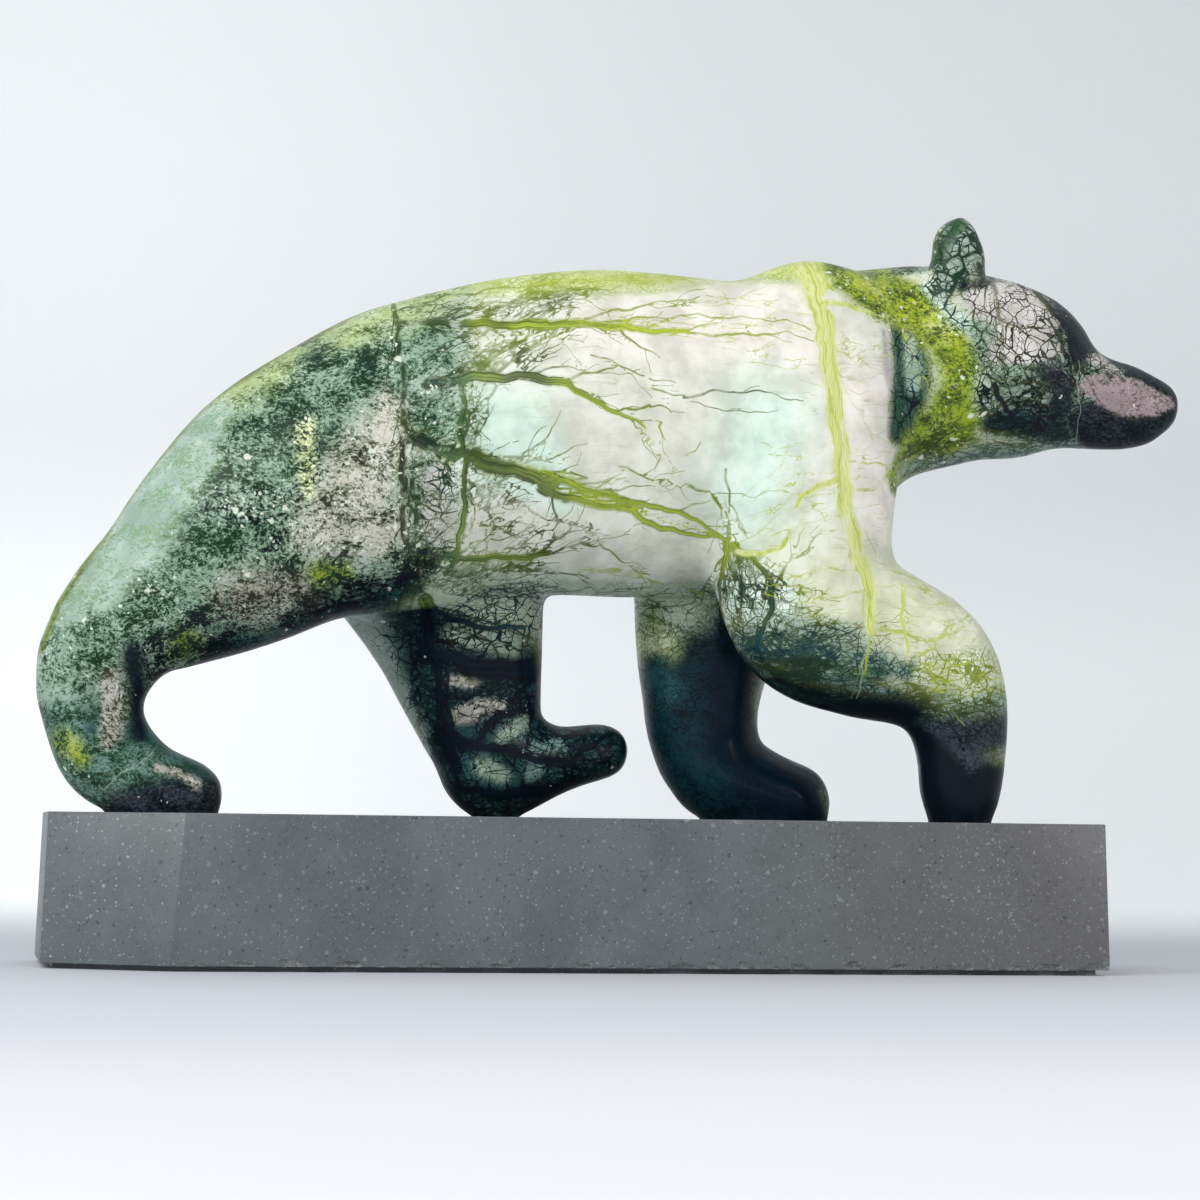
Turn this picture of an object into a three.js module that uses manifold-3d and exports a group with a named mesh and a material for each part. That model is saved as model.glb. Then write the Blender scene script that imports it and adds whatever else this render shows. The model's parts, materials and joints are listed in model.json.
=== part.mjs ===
// Walking bear carved from one block of veined green stone, on a sawn stone plinth.
// Millimetres. X runs from the tail to the nose, Y to the bear's left, Z up.
// The origin is the middle of the plinth's underside.

import * as THREE from "three";
import { ConvexGeometry } from "three/addons/geometries/ConvexGeometry.js";
import { mergeVertices } from "three/addons/utils/BufferGeometryUtils.js";
import Module from "manifold-3d";

const wasm = await Module();
wasm.setup();

// Plinth sizes
const plinthLength = 600;
const plinthDepth = 156;
const plinthHeight = 86;
const endTaper = 3; // each end leans in by this much at the top
const footHeight = 3; // dark set-in strip that the block stands on
const footInset = 5;
const cornerAlong = 68; // how much of the front face the cut corner takes
const cornerBack = 42; // how much of the left end it takes
const cornerLean = 4; // the cut is this much deeper at the top
const chipCount = 12; // chips along the lower edges of the front and of the back
const smallestChip = 3;
const largestChip = 7.5;

// How far each form runs into the next one before it is rounded over
const haunchBlend = 16;
const legBlend = 12;
const neckBlend = 14;
const muzzleBlend = 9;
const farEnough = 25; // past this a form no longer matters to the skin

// The head is turned this far towards the bear's right, about the root of the neck
const headTurn = THREE.MathUtils.degToRad(-10.5);
const neckRootX = 185;

// Ears, measured on the head before it is turned
const earX = 230;
const earSpread = 28;
const earSkew = 3; // the right ear sits this much further back, the left one this much further forward
const earZ = 336.5;
const earRadius = 16.5;
const earHalfWidth = 15;
const earLean = 3; // the tip stands out this much further than the root

// Spacing of the surface points on the body, the legs and the head
const bodyStep = 14.5;
const legStep = 11;
const headStep = 9.5;
const earStep = 7;
const toeGapX = 50; // the narrow gap between the raised paw and the foreleg behind it
const soleMargin = 1;

// Each form is a row of round stations: x, y, z of the middle, its radius as seen from the
// side, and its half-width across. Heights are above the top of the plinth.
const trunkStations = [
  [-140, 0, 190, 62, 52],
  [-105, 0, 206, 80, 62],
  [-60, 0, 217, 88, 67],
  [0, 0, 223, 94.5, 70],
  [45, 0, 223.5, 94.5, 70],
  [98, 0, 227, 85, 67],
  [125, 0, 226, 72, 58],
];
const neckStations = [
  [120, 0, 238, 72, 58],
  [155, 0, 256, 65, 52],
  [205, 0, 267.5, 61, 47],
  [241, 0, 268.5, 54.5, 45],
  [260, 0, 266, 50.5, 43],
  [271, 0, 270, 37, 35],
];
const muzzleStations = [
  [300, 0, 250, 29, 27],
  [327, 0, 246, 25.5, 22],
  [344, 0, 246, 18, 17],
];
const nearHindStations = [
  [-100, -12, 200, 84, 58],
  [-154, -22, 183, 74.5, 52],
  [-195, -30, 154, 62.5, 45],
  [-226, -36, 130, 49, 38],
  [-255, -39, 110, 38, 31],
  [-271, -40, 86, 34, 27],
  [-276, -41, 66, 29.5, 25],
  [-273, -42, 48, 27.5, 24],
  [-264, -42, 30, 27.5, 26],
  [-244, -42, 17, 22.5, 27],
  [-221, -42, 10, 19.5, 25],
];
const farHindStations = [
  [-98, 14, 200, 80, 56],
  [-78, 28, 155, 65, 46],
  [-63, 37, 117, 53, 38],
  [-51, 42, 74, 41.5, 31],
  [-42, 44, 44, 33, 28],
  [-36, 44, 25, 27.5, 28],
  [0, 44, 34, 19.5, 26],
  [27, 44, 40, 17, 23],
];
const nearForeStations = [
  [136, -22, 268, 58, 44],
  [129, -33, 202, 56, 44],
  [127, -39, 152, 52, 41],
  [134, -43, 118, 49, 38],
  [165, -45, 104.5, 46, 35],
  [199, -46, 92, 39, 31],
  [216, -46, 70, 31.5, 28],
  [221, -45, 44, 26.5, 26],
  [221, -44, 20, 23.5, 25],
  [221, -43, 5, 18, 22],
];
const farForeStations = [
  [136, 22, 268, 58, 44],
  [120, 33, 205, 55, 44],
  [98, 39, 150, 50, 41],
  [90, 42, 118, 44, 37],
  [87, 44, 76, 36, 31],
  [88, 45, 54, 33.5, 29],
  [98, 45, 29, 30, 29],
  [122, 45, 17, 26.5, 29],
  [143, 45, 11, 24, 27],
];

const bearStone = new THREE.MeshStandardMaterial({ color: 0x8d9b80, roughness: 0.15, metalness: 0 });
const plinthStone = new THREE.MeshStandardMaterial({ color: 0x55575a, roughness: 0.45, metalness: 0 });

// A form: many ellipsoids between the stations, rounded where they meet
function makeForm(stations, turn = 0) {
  const centres = new THREE.CatmullRomCurve3(
    stations.map(([x, y, z]) => new THREE.Vector3(x, y, z)), false, "catmullrom", 0.5);
  const sizes = new THREE.CatmullRomCurve3(
    stations.map(([, , , r, w]) => new THREE.Vector3(r, w, 0)), false, "catmullrom", 0.5);
  const steps = (stations.length - 1) * 6;
  const up = new THREE.Vector3(0, 0, 1);
  const balls = [];
  for (let i = 0; i <= steps; i++) {
    const c = centres.getPoint(i / steps);
    const s = sizes.getPoint(i / steps);
    c.x -= neckRootX;
    c.applyAxisAngle(up, turn);
    c.x += neckRootX;
    balls.push({ x: c.x, y: c.y, z: c.z, r: s.x, squash: s.x / s.y });
  }
  const reach = new Float64Array(balls.length);
  const cosTurn = Math.cos(turn);
  const sinTurn = Math.sin(turn);
  const low = { x: Infinity, y: Infinity, z: Infinity };
  const high = { x: -Infinity, y: -Infinity, z: -Infinity };
  for (const b of balls)
    for (const axis of ["x", "y", "z"]) {
      low[axis] = Math.min(low[axis], b[axis] - b.r);
      high[axis] = Math.max(high[axis], b[axis] + b.r);
    }
  return (x, y, z) => {
    const away = Math.max(low.x - x, x - high.x, low.y - y, y - high.y, low.z - z, z - high.z);
    if (away > farEnough) return away;
    let best = 0;
    for (let i = 0; i < balls.length; i++) {
      const b = balls[i];
      const dx = (x - b.x) * cosTurn + (y - b.y) * sinTurn;
      const dy = ((y - b.y) * cosTurn - (x - b.x) * sinTurn) * b.squash;
      const dz = z - b.z;
      const flat = dx * dx + dz * dz;
      const q = Math.sqrt(flat + dy * dy) + 1e-6;
      reach[i] = ((q - b.r) * q) / (Math.sqrt(flat + dy * dy * b.squash * b.squash) + 1e-6);
      if (reach[i] < reach[best]) best = i;
    }
    const j = Math.min(Math.max(best, 1), balls.length - 2);
    const bend = reach[j + 1] - 2 * reach[j] + reach[j - 1];
    const slope = (reach[j + 1] - reach[j - 1]) / 2;
    if (bend < 1e-9) return reach[best];
    const t = Math.min(Math.max(-slope / bend, -1), 1);
    return reach[j] + slope * t + (bend * t * t) / 2;
  };
}

// Two forms run together with a fillet of about the given size
function blend(a, b, size) {
  const h = Math.max(size - Math.abs(a - b), 0) / size;
  return Math.min(a, b) - (h * h * size) / 4;
}

// One ear: an upright dome with its front cut off flat
function makeEar(side) {
  const along = earX + side * earSkew;
  const dome = makeForm([
    [along - 2, side * earSpread, earZ - 2 * earRadius, earRadius + 1, earHalfWidth],
    [along - 1, side * (earSpread + earLean / 2), earZ - earRadius, earRadius, earHalfWidth],
    [along, side * (earSpread + earLean), earZ, earRadius, earHalfWidth - 2],
  ], headTurn);
  const front = new THREE.Vector3(0.91, side * 0.12, 0.4).normalize();
  const tip = new THREE.Vector3(along + 6 - neckRootX, side * (earSpread + earLean), earZ + earRadius);
  front.applyAxisAngle(new THREE.Vector3(0, 0, 1), headTurn);
  tip.applyAxisAngle(new THREE.Vector3(0, 0, 1), headTurn);
  const past = front.dot(tip) + front.x * neckRootX;
  return (x, y, z) => {
    const cut = front.x * x + front.y * y + front.z * z - past;
    return -blend(-dome(x, y, z), -cut, 3);
  };
}

const trunk = makeForm(trunkStations);
const neck = makeForm(neckStations, headTurn);
const muzzle = makeForm(muzzleStations, headTurn);
const nearHind = makeForm(nearHindStations);
const farHind = makeForm(farHindStations);
const nearFore = makeForm(nearForeStations);
const farFore = makeForm(farForeStations);
const rightEar = makeEar(-1);
const leftEar = makeEar(1);

// How far a point is outside the bear's skin, below zero inside
function bearField(x, y, z) {
  const head = blend(blend(neck(x, y, z), muzzle(x, y, z), muzzleBlend),
    Math.min(rightEar(x, y, z), leftEar(x, y, z)), 7);
  const body = blend(trunk(x, y, z), head, neckBlend);
  const farSide = Math.min(blend(body, farHind(x, y, z), legBlend),
    blend(body, farFore(x, y, z), haunchBlend));
  return blend(blend(farSide, nearHind(x, y, z), haunchBlend), nearFore(x, y, z), legBlend);
}

function slopeOf(field, x, y, z) {
  const e = 0.4;
  return new THREE.Vector3(
    field(x + e, y, z) - field(x - e, y, z),
    field(x, y + e, z) - field(x, y - e, z),
    field(x, y, z + e) - field(x, y, z - e),
  ).divideScalar(2 * e);
}

// Moves a point straight onto the skin
function settle(field, p) {
  for (let i = 0; i < 2; i++) {
    const g = slopeOf(field, p.x, p.y, p.z);
    p.addScaledVector(g, -field(p.x, p.y, p.z) / Math.max(g.lengthSq(), 0.1));
  }
}

// Grid lines through each of the given places, evenly spaced between them
function gridLines(...runs) {
  const lines = [];
  for (const [from, to, step] of runs) {
    const count = Math.round((to - from) / step);
    for (let i = 0; i < count; i++) lines.push(from + ((to - from) * i) / count);
  }
  lines.push(runs[runs.length - 1][1]);
  return lines;
}

// Where only two opposite corners of a grid square are inside, the skin would meet itself
// along an edge, so the corner nearest the skin changes sides
function partTouchingSheets(depth, counts) {
  const strides = [1, counts[0], counts[0] * counts[1]];
  let changed = true;
  while (changed) {
    changed = false;
    for (let n = 0; n < depth.length; n++) {
      const place = [n % counts[0], Math.floor(n / strides[1]) % counts[1], Math.floor(n / strides[2])];
      for (const [a, b] of [[0, 1], [0, 2], [1, 2]]) {
        if (place[a] + 1 >= counts[a] || place[b] + 1 >= counts[b]) continue;
        const square = [n, n + strides[a], n + strides[a] + strides[b], n + strides[b]];
        const inside = square.map((m) => depth[m] < 0);
        if (inside[0] !== inside[2] || inside[1] !== inside[3] || inside[0] === inside[1]) continue;
        const nearest = square.reduce((m, c) => (Math.abs(depth[c]) < Math.abs(depth[m]) ? c : m));
        depth[nearest] = depth[nearest] < 0 ? 0.01 : -0.01;
        changed = true;
      }
    }
  }
}

// Skins a field: one point in each grid cell that the surface crosses, one quad on each
// grid edge that it crosses, then the points are evened out along the surface
function skin(field, xs, ys, zs, evenings) {
  const nx = xs.length;
  const ny = ys.length;
  const nz = zs.length;
  const at = (i, j, k) => (k * ny + j) * nx + i;
  const depth = new Float64Array(nx * ny * nz);
  for (let k = 0; k < nz; k++)
    for (let j = 0; j < ny; j++)
      for (let i = 0; i < nx; i++) depth[at(i, j, k)] = field(xs[i], ys[j], zs[k]);
  partTouchingSheets(depth, [nx, ny, nz]);

  const corners = [];
  for (let c = 0; c < 8; c++) corners.push([c & 1, (c >> 1) & 1, (c >> 2) & 1]);
  const edges = [];
  for (let a = 0; a < 8; a++)
    for (const bit of [1, 2, 4]) if (!(a & bit)) edges.push([a, a | bit]);

  const points = [];
  const pointOf = new Map();
  for (let k = 0; k < nz - 1; k++)
    for (let j = 0; j < ny - 1; j++)
      for (let i = 0; i < nx - 1; i++) {
        const sum = new THREE.Vector3();
        let hits = 0;
        for (const [a, b] of edges) {
          const [ai, aj, ak] = corners[a];
          const [bi, bj, bk] = corners[b];
          const va = depth[at(i + ai, j + aj, k + ak)];
          const vb = depth[at(i + bi, j + bj, k + bk)];
          if (va < 0 === vb < 0) continue;
          const t = va / (va - vb);
          sum.x += xs[i + ai] + (xs[i + bi] - xs[i + ai]) * t;
          sum.y += ys[j + aj] + (ys[j + bj] - ys[j + aj]) * t;
          sum.z += zs[k + ak] + (zs[k + bk] - zs[k + ak]) * t;
          hits++;
        }
        if (!hits) continue;
        pointOf.set(at(i, j, k), points.length);
        points.push(sum.divideScalar(hits));
      }

  const quads = [];
  const steps = [[1, 0, 0], [0, 1, 0], [0, 0, 1]];
  for (let k = 1; k < nz - 1; k++)
    for (let j = 1; j < ny - 1; j++)
      for (let i = 1; i < nx - 1; i++)
        steps.forEach(([di, dj, dk], axis) => {
          const inside = depth[at(i, j, k)] < 0;
          if (inside === depth[at(i + di, j + dj, k + dk)] < 0) return;
          const [p, q] = [steps[(axis + 1) % 3], steps[(axis + 2) % 3]];
          const cell = (a, b) =>
            pointOf.get(at(i - a * p[0] - b * q[0], j - a * p[1] - b * q[1], k - a * p[2] - b * q[2]));
          const quad = [cell(0, 0), cell(1, 0), cell(1, 1), cell(0, 1)];
          quads.push(inside ? quad : quad.reverse());
        });

  const around = points.map(() => new Set());
  for (const quad of quads)
    quad.forEach((v, n) => {
      around[v].add(quad[(n + 1) % 4]);
      around[v].add(quad[(n + 3) % 4]);
    });
  points.forEach((p) => settle(field, p));
  for (let round = 0; round < evenings; round++) {
    const moved = points.map((p, n) => {
      const mean = new THREE.Vector3();
      for (const m of around[n]) mean.add(points[m]);
      return mean.divideScalar(around[n].size).sub(p).multiplyScalar(0.6).add(p);
    });
    moved.forEach((p, n) => {
      settle(field, p);
      points[n] = p;
    });
  }

  const index = [];
  const between = new THREE.Vector3();
  const gapAt = (a, b) => {
    between.addVectors(points[a], points[b]).multiplyScalar(0.5);
    return Math.abs(field(between.x, between.y, between.z));
  };
  for (const [a, b, c, d] of quads) {
    if (gapAt(a, c) < gapAt(b, d)) index.push(a, b, c, a, c, d);
    else index.push(a, b, d, b, c, d);
  }
  // No point stays so near the height of the soles that the cut there leaves slivers
  for (const p of points) if (Math.abs(p.z) < soleMargin) p.z = p.z < 0 ? -soleMargin : soleMargin;
  const geometry = new THREE.BufferGeometry().setFromPoints(points);
  geometry.setIndex(index);
  return geometry;
}

function toSolid(geometry) {
  const bare = geometry.clone();
  bare.deleteAttribute("normal");
  bare.deleteAttribute("uv");
  const merged = mergeVertices(bare, 1e-4);
  return new wasm.Manifold(new wasm.Mesh({
    numProp: 3,
    vertProperties: merged.attributes.position.array,
    triVerts: new Uint32Array(merged.index.array),
  }));
}

function toGeometry(solid) {
  const mesh = solid.getMesh();
  const geometry = new THREE.BufferGeometry();
  geometry.setAttribute("position", new THREE.BufferAttribute(mesh.vertProperties, 3));
  geometry.setIndex(new THREE.BufferAttribute(mesh.triVerts, 1));
  geometry.computeVertexNormals();
  return geometry;
}

// The bear, standing with its soles cut flat at height 0
function carveBear() {
  const xs = gridLines([-325, -205, legStep], [-205, toeGapX, bodyStep], [toeGapX, 200, bodyStep],
    [200, 262, earStep], [262, 378, headStep]);
  const ys = gridLines([-105, 0, legStep], [0, 105, legStep]);
  const zs = gridLines([-25, 125, legStep], [125, 270, bodyStep], [270, 318, headStep],
    [318, 372, earStep]);
  const rough = toSolid(skin(bearField, xs, ys, zs, 4));
  const ground = new THREE.BoxGeometry(900, 400, 100).translate(0, 0, -50);
  return toGeometry(rough.subtract(toSolid(ground)));
}

// A block whose two ends lean in towards the top
function leaningBlock(length, depth, height, lean) {
  const corners = [];
  for (const x of [-1, 1])
    for (const y of [-1, 1]) {
      corners.push(new THREE.Vector3((x * length) / 2, (y * depth) / 2, 0));
      corners.push(new THREE.Vector3(x * (length / 2 - lean), (y * depth) / 2, height));
    }
  return new ConvexGeometry(corners);
}

function sawPlinth() {
  const blockHeight = plinthHeight - footHeight;
  const block = leaningBlock(plinthLength, plinthDepth, blockHeight, endTaper).translate(0, 0, footHeight);
  let stone = toSolid(block);

  // The cut corner: everything outside a leaning plane at the front left
  const corner = new THREE.BoxGeometry(400, 200, 400)
    .translate(0, -100, 0)
    .rotateX(-Math.atan2(cornerLean, blockHeight))
    .rotateZ(-Math.atan2(cornerBack, cornerAlong))
    .translate(-plinthLength / 2 + cornerAlong, -plinthDepth / 2, footHeight);
  stone = stone.subtract(toSolid(corner));

  const chippedFrom = -plinthLength / 2 + cornerAlong + 14;
  const chippedLength = plinthLength / 2 - 16 - chippedFrom;
  for (let n = 0; n < chipCount; n++) {
    const wave = Math.sin(n * 12.9898) * 43758.5453;
    const dice = wave - Math.floor(wave);
    for (const side of [-1, 1]) {
      const size = THREE.MathUtils.lerp(smallestChip, largestChip, side < 0 ? dice : 1 - dice);
      const chip = new THREE.IcosahedronGeometry(1, size > 5 ? 1 : 0)
        .rotateZ(n)
        .scale(size * 3, size * 0.9, size)
        .translate(
          chippedFrom + ((n + dice * 0.8) * chippedLength) / chipCount,
          side * (plinthDepth / 2 + size * 0.1),
          footHeight - size * 0.15,
        );
      stone = stone.subtract(toSolid(chip));
    }
  }

  const overlap = 1; // the strip runs this far up into the block
  const foot = new THREE.BoxGeometry(
    plinthLength - 2 * (footInset + endTaper),
    plinthDepth - 2 * (footInset + smallestChip),
    footHeight + overlap,
  ).translate(0, 0, (footHeight + overlap) / 2);
  const footCorner = corner.clone().translate(footInset, footInset, 0);
  return toGeometry(stone.add(toSolid(foot).subtract(toSolid(footCorner))));
}

const bear = new THREE.Mesh(carveBear(), bearStone);
bear.name = "bear";
bear.position.z = plinthHeight;

const plinth = new THREE.Mesh(sawPlinth(), plinthStone);
plinth.name = "plinth";

const carving = new THREE.Group();
carving.add(plinth, bear);

export default carving;
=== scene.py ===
import json
import math
import random

import bpy
import numpy as np
from mathutils import Matrix, Vector, kdtree, noise

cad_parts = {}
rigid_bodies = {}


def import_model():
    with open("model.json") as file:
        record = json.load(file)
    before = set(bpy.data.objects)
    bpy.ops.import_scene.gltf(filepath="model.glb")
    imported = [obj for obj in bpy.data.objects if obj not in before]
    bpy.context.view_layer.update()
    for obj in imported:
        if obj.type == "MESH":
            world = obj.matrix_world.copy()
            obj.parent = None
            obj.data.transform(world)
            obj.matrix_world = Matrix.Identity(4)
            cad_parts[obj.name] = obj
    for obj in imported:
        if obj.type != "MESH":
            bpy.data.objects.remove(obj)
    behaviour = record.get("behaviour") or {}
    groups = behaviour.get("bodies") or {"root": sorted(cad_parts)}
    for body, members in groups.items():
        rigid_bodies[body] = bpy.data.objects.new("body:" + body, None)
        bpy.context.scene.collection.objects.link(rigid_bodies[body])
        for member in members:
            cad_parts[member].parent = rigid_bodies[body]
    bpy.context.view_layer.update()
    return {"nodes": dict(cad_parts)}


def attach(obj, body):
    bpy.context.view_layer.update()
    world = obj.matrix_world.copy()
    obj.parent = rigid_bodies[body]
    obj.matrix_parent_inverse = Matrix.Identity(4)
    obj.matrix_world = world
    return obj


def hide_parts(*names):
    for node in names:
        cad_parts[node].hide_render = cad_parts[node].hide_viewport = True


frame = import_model()
print("frame loaded, nodes:", ", ".join(sorted(frame["nodes"])))


def letGo():
    bpy.ops.object.select_all(action="DESELECT")


def takeUp(piece):
    letGo()
    piece.select_set(True)
    bpy.context.view_layer.objects.active = piece


def applyModifier(piece, kind, name, **values):
    modifier = piece.modifiers.new(name, kind)
    for key, value in values.items():
        setattr(modifier, key, value)
    takeUp(piece)
    bpy.ops.object.modifier_apply(modifier=modifier.name)


def copyOfNode(name, pieceName):
    takeUp(frame["nodes"][name])
    bpy.ops.object.duplicate()
    piece = bpy.context.active_object
    bpy.ops.object.parent_clear(type="CLEAR_KEEP_TRANSFORM")
    for key in list(piece.keys()):
        del piece[key]
    piece.name = pieceName
    piece.data.name = pieceName
    bpy.ops.object.mode_set(mode="EDIT")
    bpy.ops.mesh.select_all(action="SELECT")
    bpy.ops.mesh.remove_doubles(threshold=0.00002)
    bpy.ops.object.mode_set(mode="OBJECT")
    return piece


def plainFinish(name, colour, roughness):
    finish = bpy.data.materials.new(name)
    finish.use_nodes = True
    shader = finish.node_tree.nodes["Principled BSDF"]
    shader.inputs["Base Color"].default_value = (*colour, 1)
    shader.inputs["Roughness"].default_value = roughness
    return finish


# The side view that the carving is laid out on, 1200 units wide and high
sideView = {
    "eye": (-0.35164, -1.98905, 0.0779),
    "turn": -10.5,
    "lookUp": 3.8027,
    "roll": 0.69,
    "reach": 3500.0,
    "middle": 600.0,
    "sensor": 36.0,
}


def viewAxes():
    turn = math.radians(sideView["turn"])
    pitch = math.radians(sideView["lookUp"])
    roll = math.radians(sideView["roll"])
    level = Vector((-math.sin(turn), math.cos(turn), 0))
    across = Vector((math.cos(turn), math.sin(turn), 0))
    ahead = level * math.cos(pitch) + Vector((0, 0, math.sin(pitch)))
    upward = Vector((0, 0, math.cos(pitch))) - level * math.sin(pitch)
    return (
        across * math.cos(roll) + upward * math.sin(roll),
        upward * math.cos(roll) - across * math.sin(roll),
        ahead,
    )


def onSideView(spots):
    right, up, ahead = (np.array(axis) for axis in viewAxes())
    away = spots - np.array(sideView["eye"])
    depth = away @ ahead
    u = sideView["middle"] + sideView["reach"] * (away @ right) / depth
    v = sideView["middle"] - sideView["reach"] * (away @ up) / depth
    return u, v


# The bear's surface
bearShape = {
    "plinthTop": 0.086,
    "soleDrop": 0.014,
    "softenLevels": 2,
    "grain": 0.00246,
    "polishPasses": 7,
    "creaseAngle": 50,
}


def carveBear():
    bear = copyOfNode("bear", "walkingBear")
    top = bearShape["plinthTop"]

    # The soles run on below the plinth's top, so that the softening leaves them upright there
    bpy.ops.object.mode_set(mode="EDIT")
    bpy.ops.mesh.select_all(action="DESELECT")
    bpy.ops.object.mode_set(mode="OBJECT")
    for face in bear.data.polygons:
        face.select = face.normal.z < -0.9 and face.center.z < top + 0.0005
    bpy.ops.object.mode_set(mode="EDIT")
    bpy.ops.mesh.select_mode(type="FACE")
    bpy.ops.mesh.extrude_region_move(
        TRANSFORM_OT_translate={"value": (0, 0, -bearShape["soleDrop"])}
    )
    bpy.ops.object.mode_set(mode="OBJECT")

    levels = bearShape["softenLevels"]
    applyModifier(bear, "SUBSURF", "soften", levels=levels, render_levels=levels)
    applyModifier(bear, "REMESH", "evenGrain", mode="VOXEL", voxel_size=bearShape["grain"])
    applyModifier(
        bear, "SMOOTH", "polish", factor=0.5, iterations=bearShape["polishPasses"]
    )

    # Cut level where the feet stand
    bpy.ops.object.mode_set(mode="EDIT")
    bpy.ops.mesh.select_all(action="SELECT")
    bpy.ops.mesh.bisect(
        plane_co=(0, 0, top), plane_no=(0, 0, 1), clear_inner=True, use_fill=True
    )
    bpy.ops.mesh.select_all(action="SELECT")
    bpy.ops.mesh.remove_doubles(threshold=0.0001)
    bpy.ops.mesh.normals_make_consistent(inside=False)
    bpy.ops.object.mode_set(mode="OBJECT")
    bpy.ops.object.shade_smooth_by_angle(angle=math.radians(bearShape["creaseAngle"]))
    print("bear:", len(bear.data.polygons), "faces")
    return bear


bear = carveBear()

# Colours of the stone, as they look in plain light; some are also used below for painted highlights, painted
# reflections and painted fill light
stoneTints = {
    "bone": (216, 218, 203),
    "cream": (208, 212, 184),
    "petal": (226, 221, 211),
    "mint": (208, 230, 215),
    # slopeMint also carries the painted sheen on the back's slope and painted fill light on the far hind leg
    "slopeMint": (158, 180, 166),
    # shade: a pale ground, lighter than the stone, painted on the shaded underside and far legs as painted fill light
    "mist": (164, 184, 168),
    "shade": (202, 216, 192),
    "silver": (186, 181, 176),
    "shell": (208, 205, 192),
    "pearl": (206, 202, 198),
    "limePale": (206, 214, 138),
    "sun": (244, 246, 196),
    "lime": (174, 186, 58),
    "limeLeaf": (150, 168, 50),
    "olive": (118, 134, 40),
    "oliveDeep": (62, 76, 34),
    "limeMist": (178, 196, 140),
    "fern": (66, 98, 66),
    "leaf": (120, 148, 112),
    "leafGrey": (156, 180, 162),
    "leafDeep": (28, 54, 38),
    "teal": (52, 92, 94),
    "pine": (58, 94, 80),
    "tealPale": (116, 144, 138),
    "tealDeep": (12, 52, 62),
    "navy": (4, 30, 46),
    "ink": (2, 14, 24),
    "slate": (62, 68, 78),
    "umber": (52, 50, 42),
    # rose is used only for the painted reflection on the muzzle
    "rose": (158, 141, 146),
}
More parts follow.
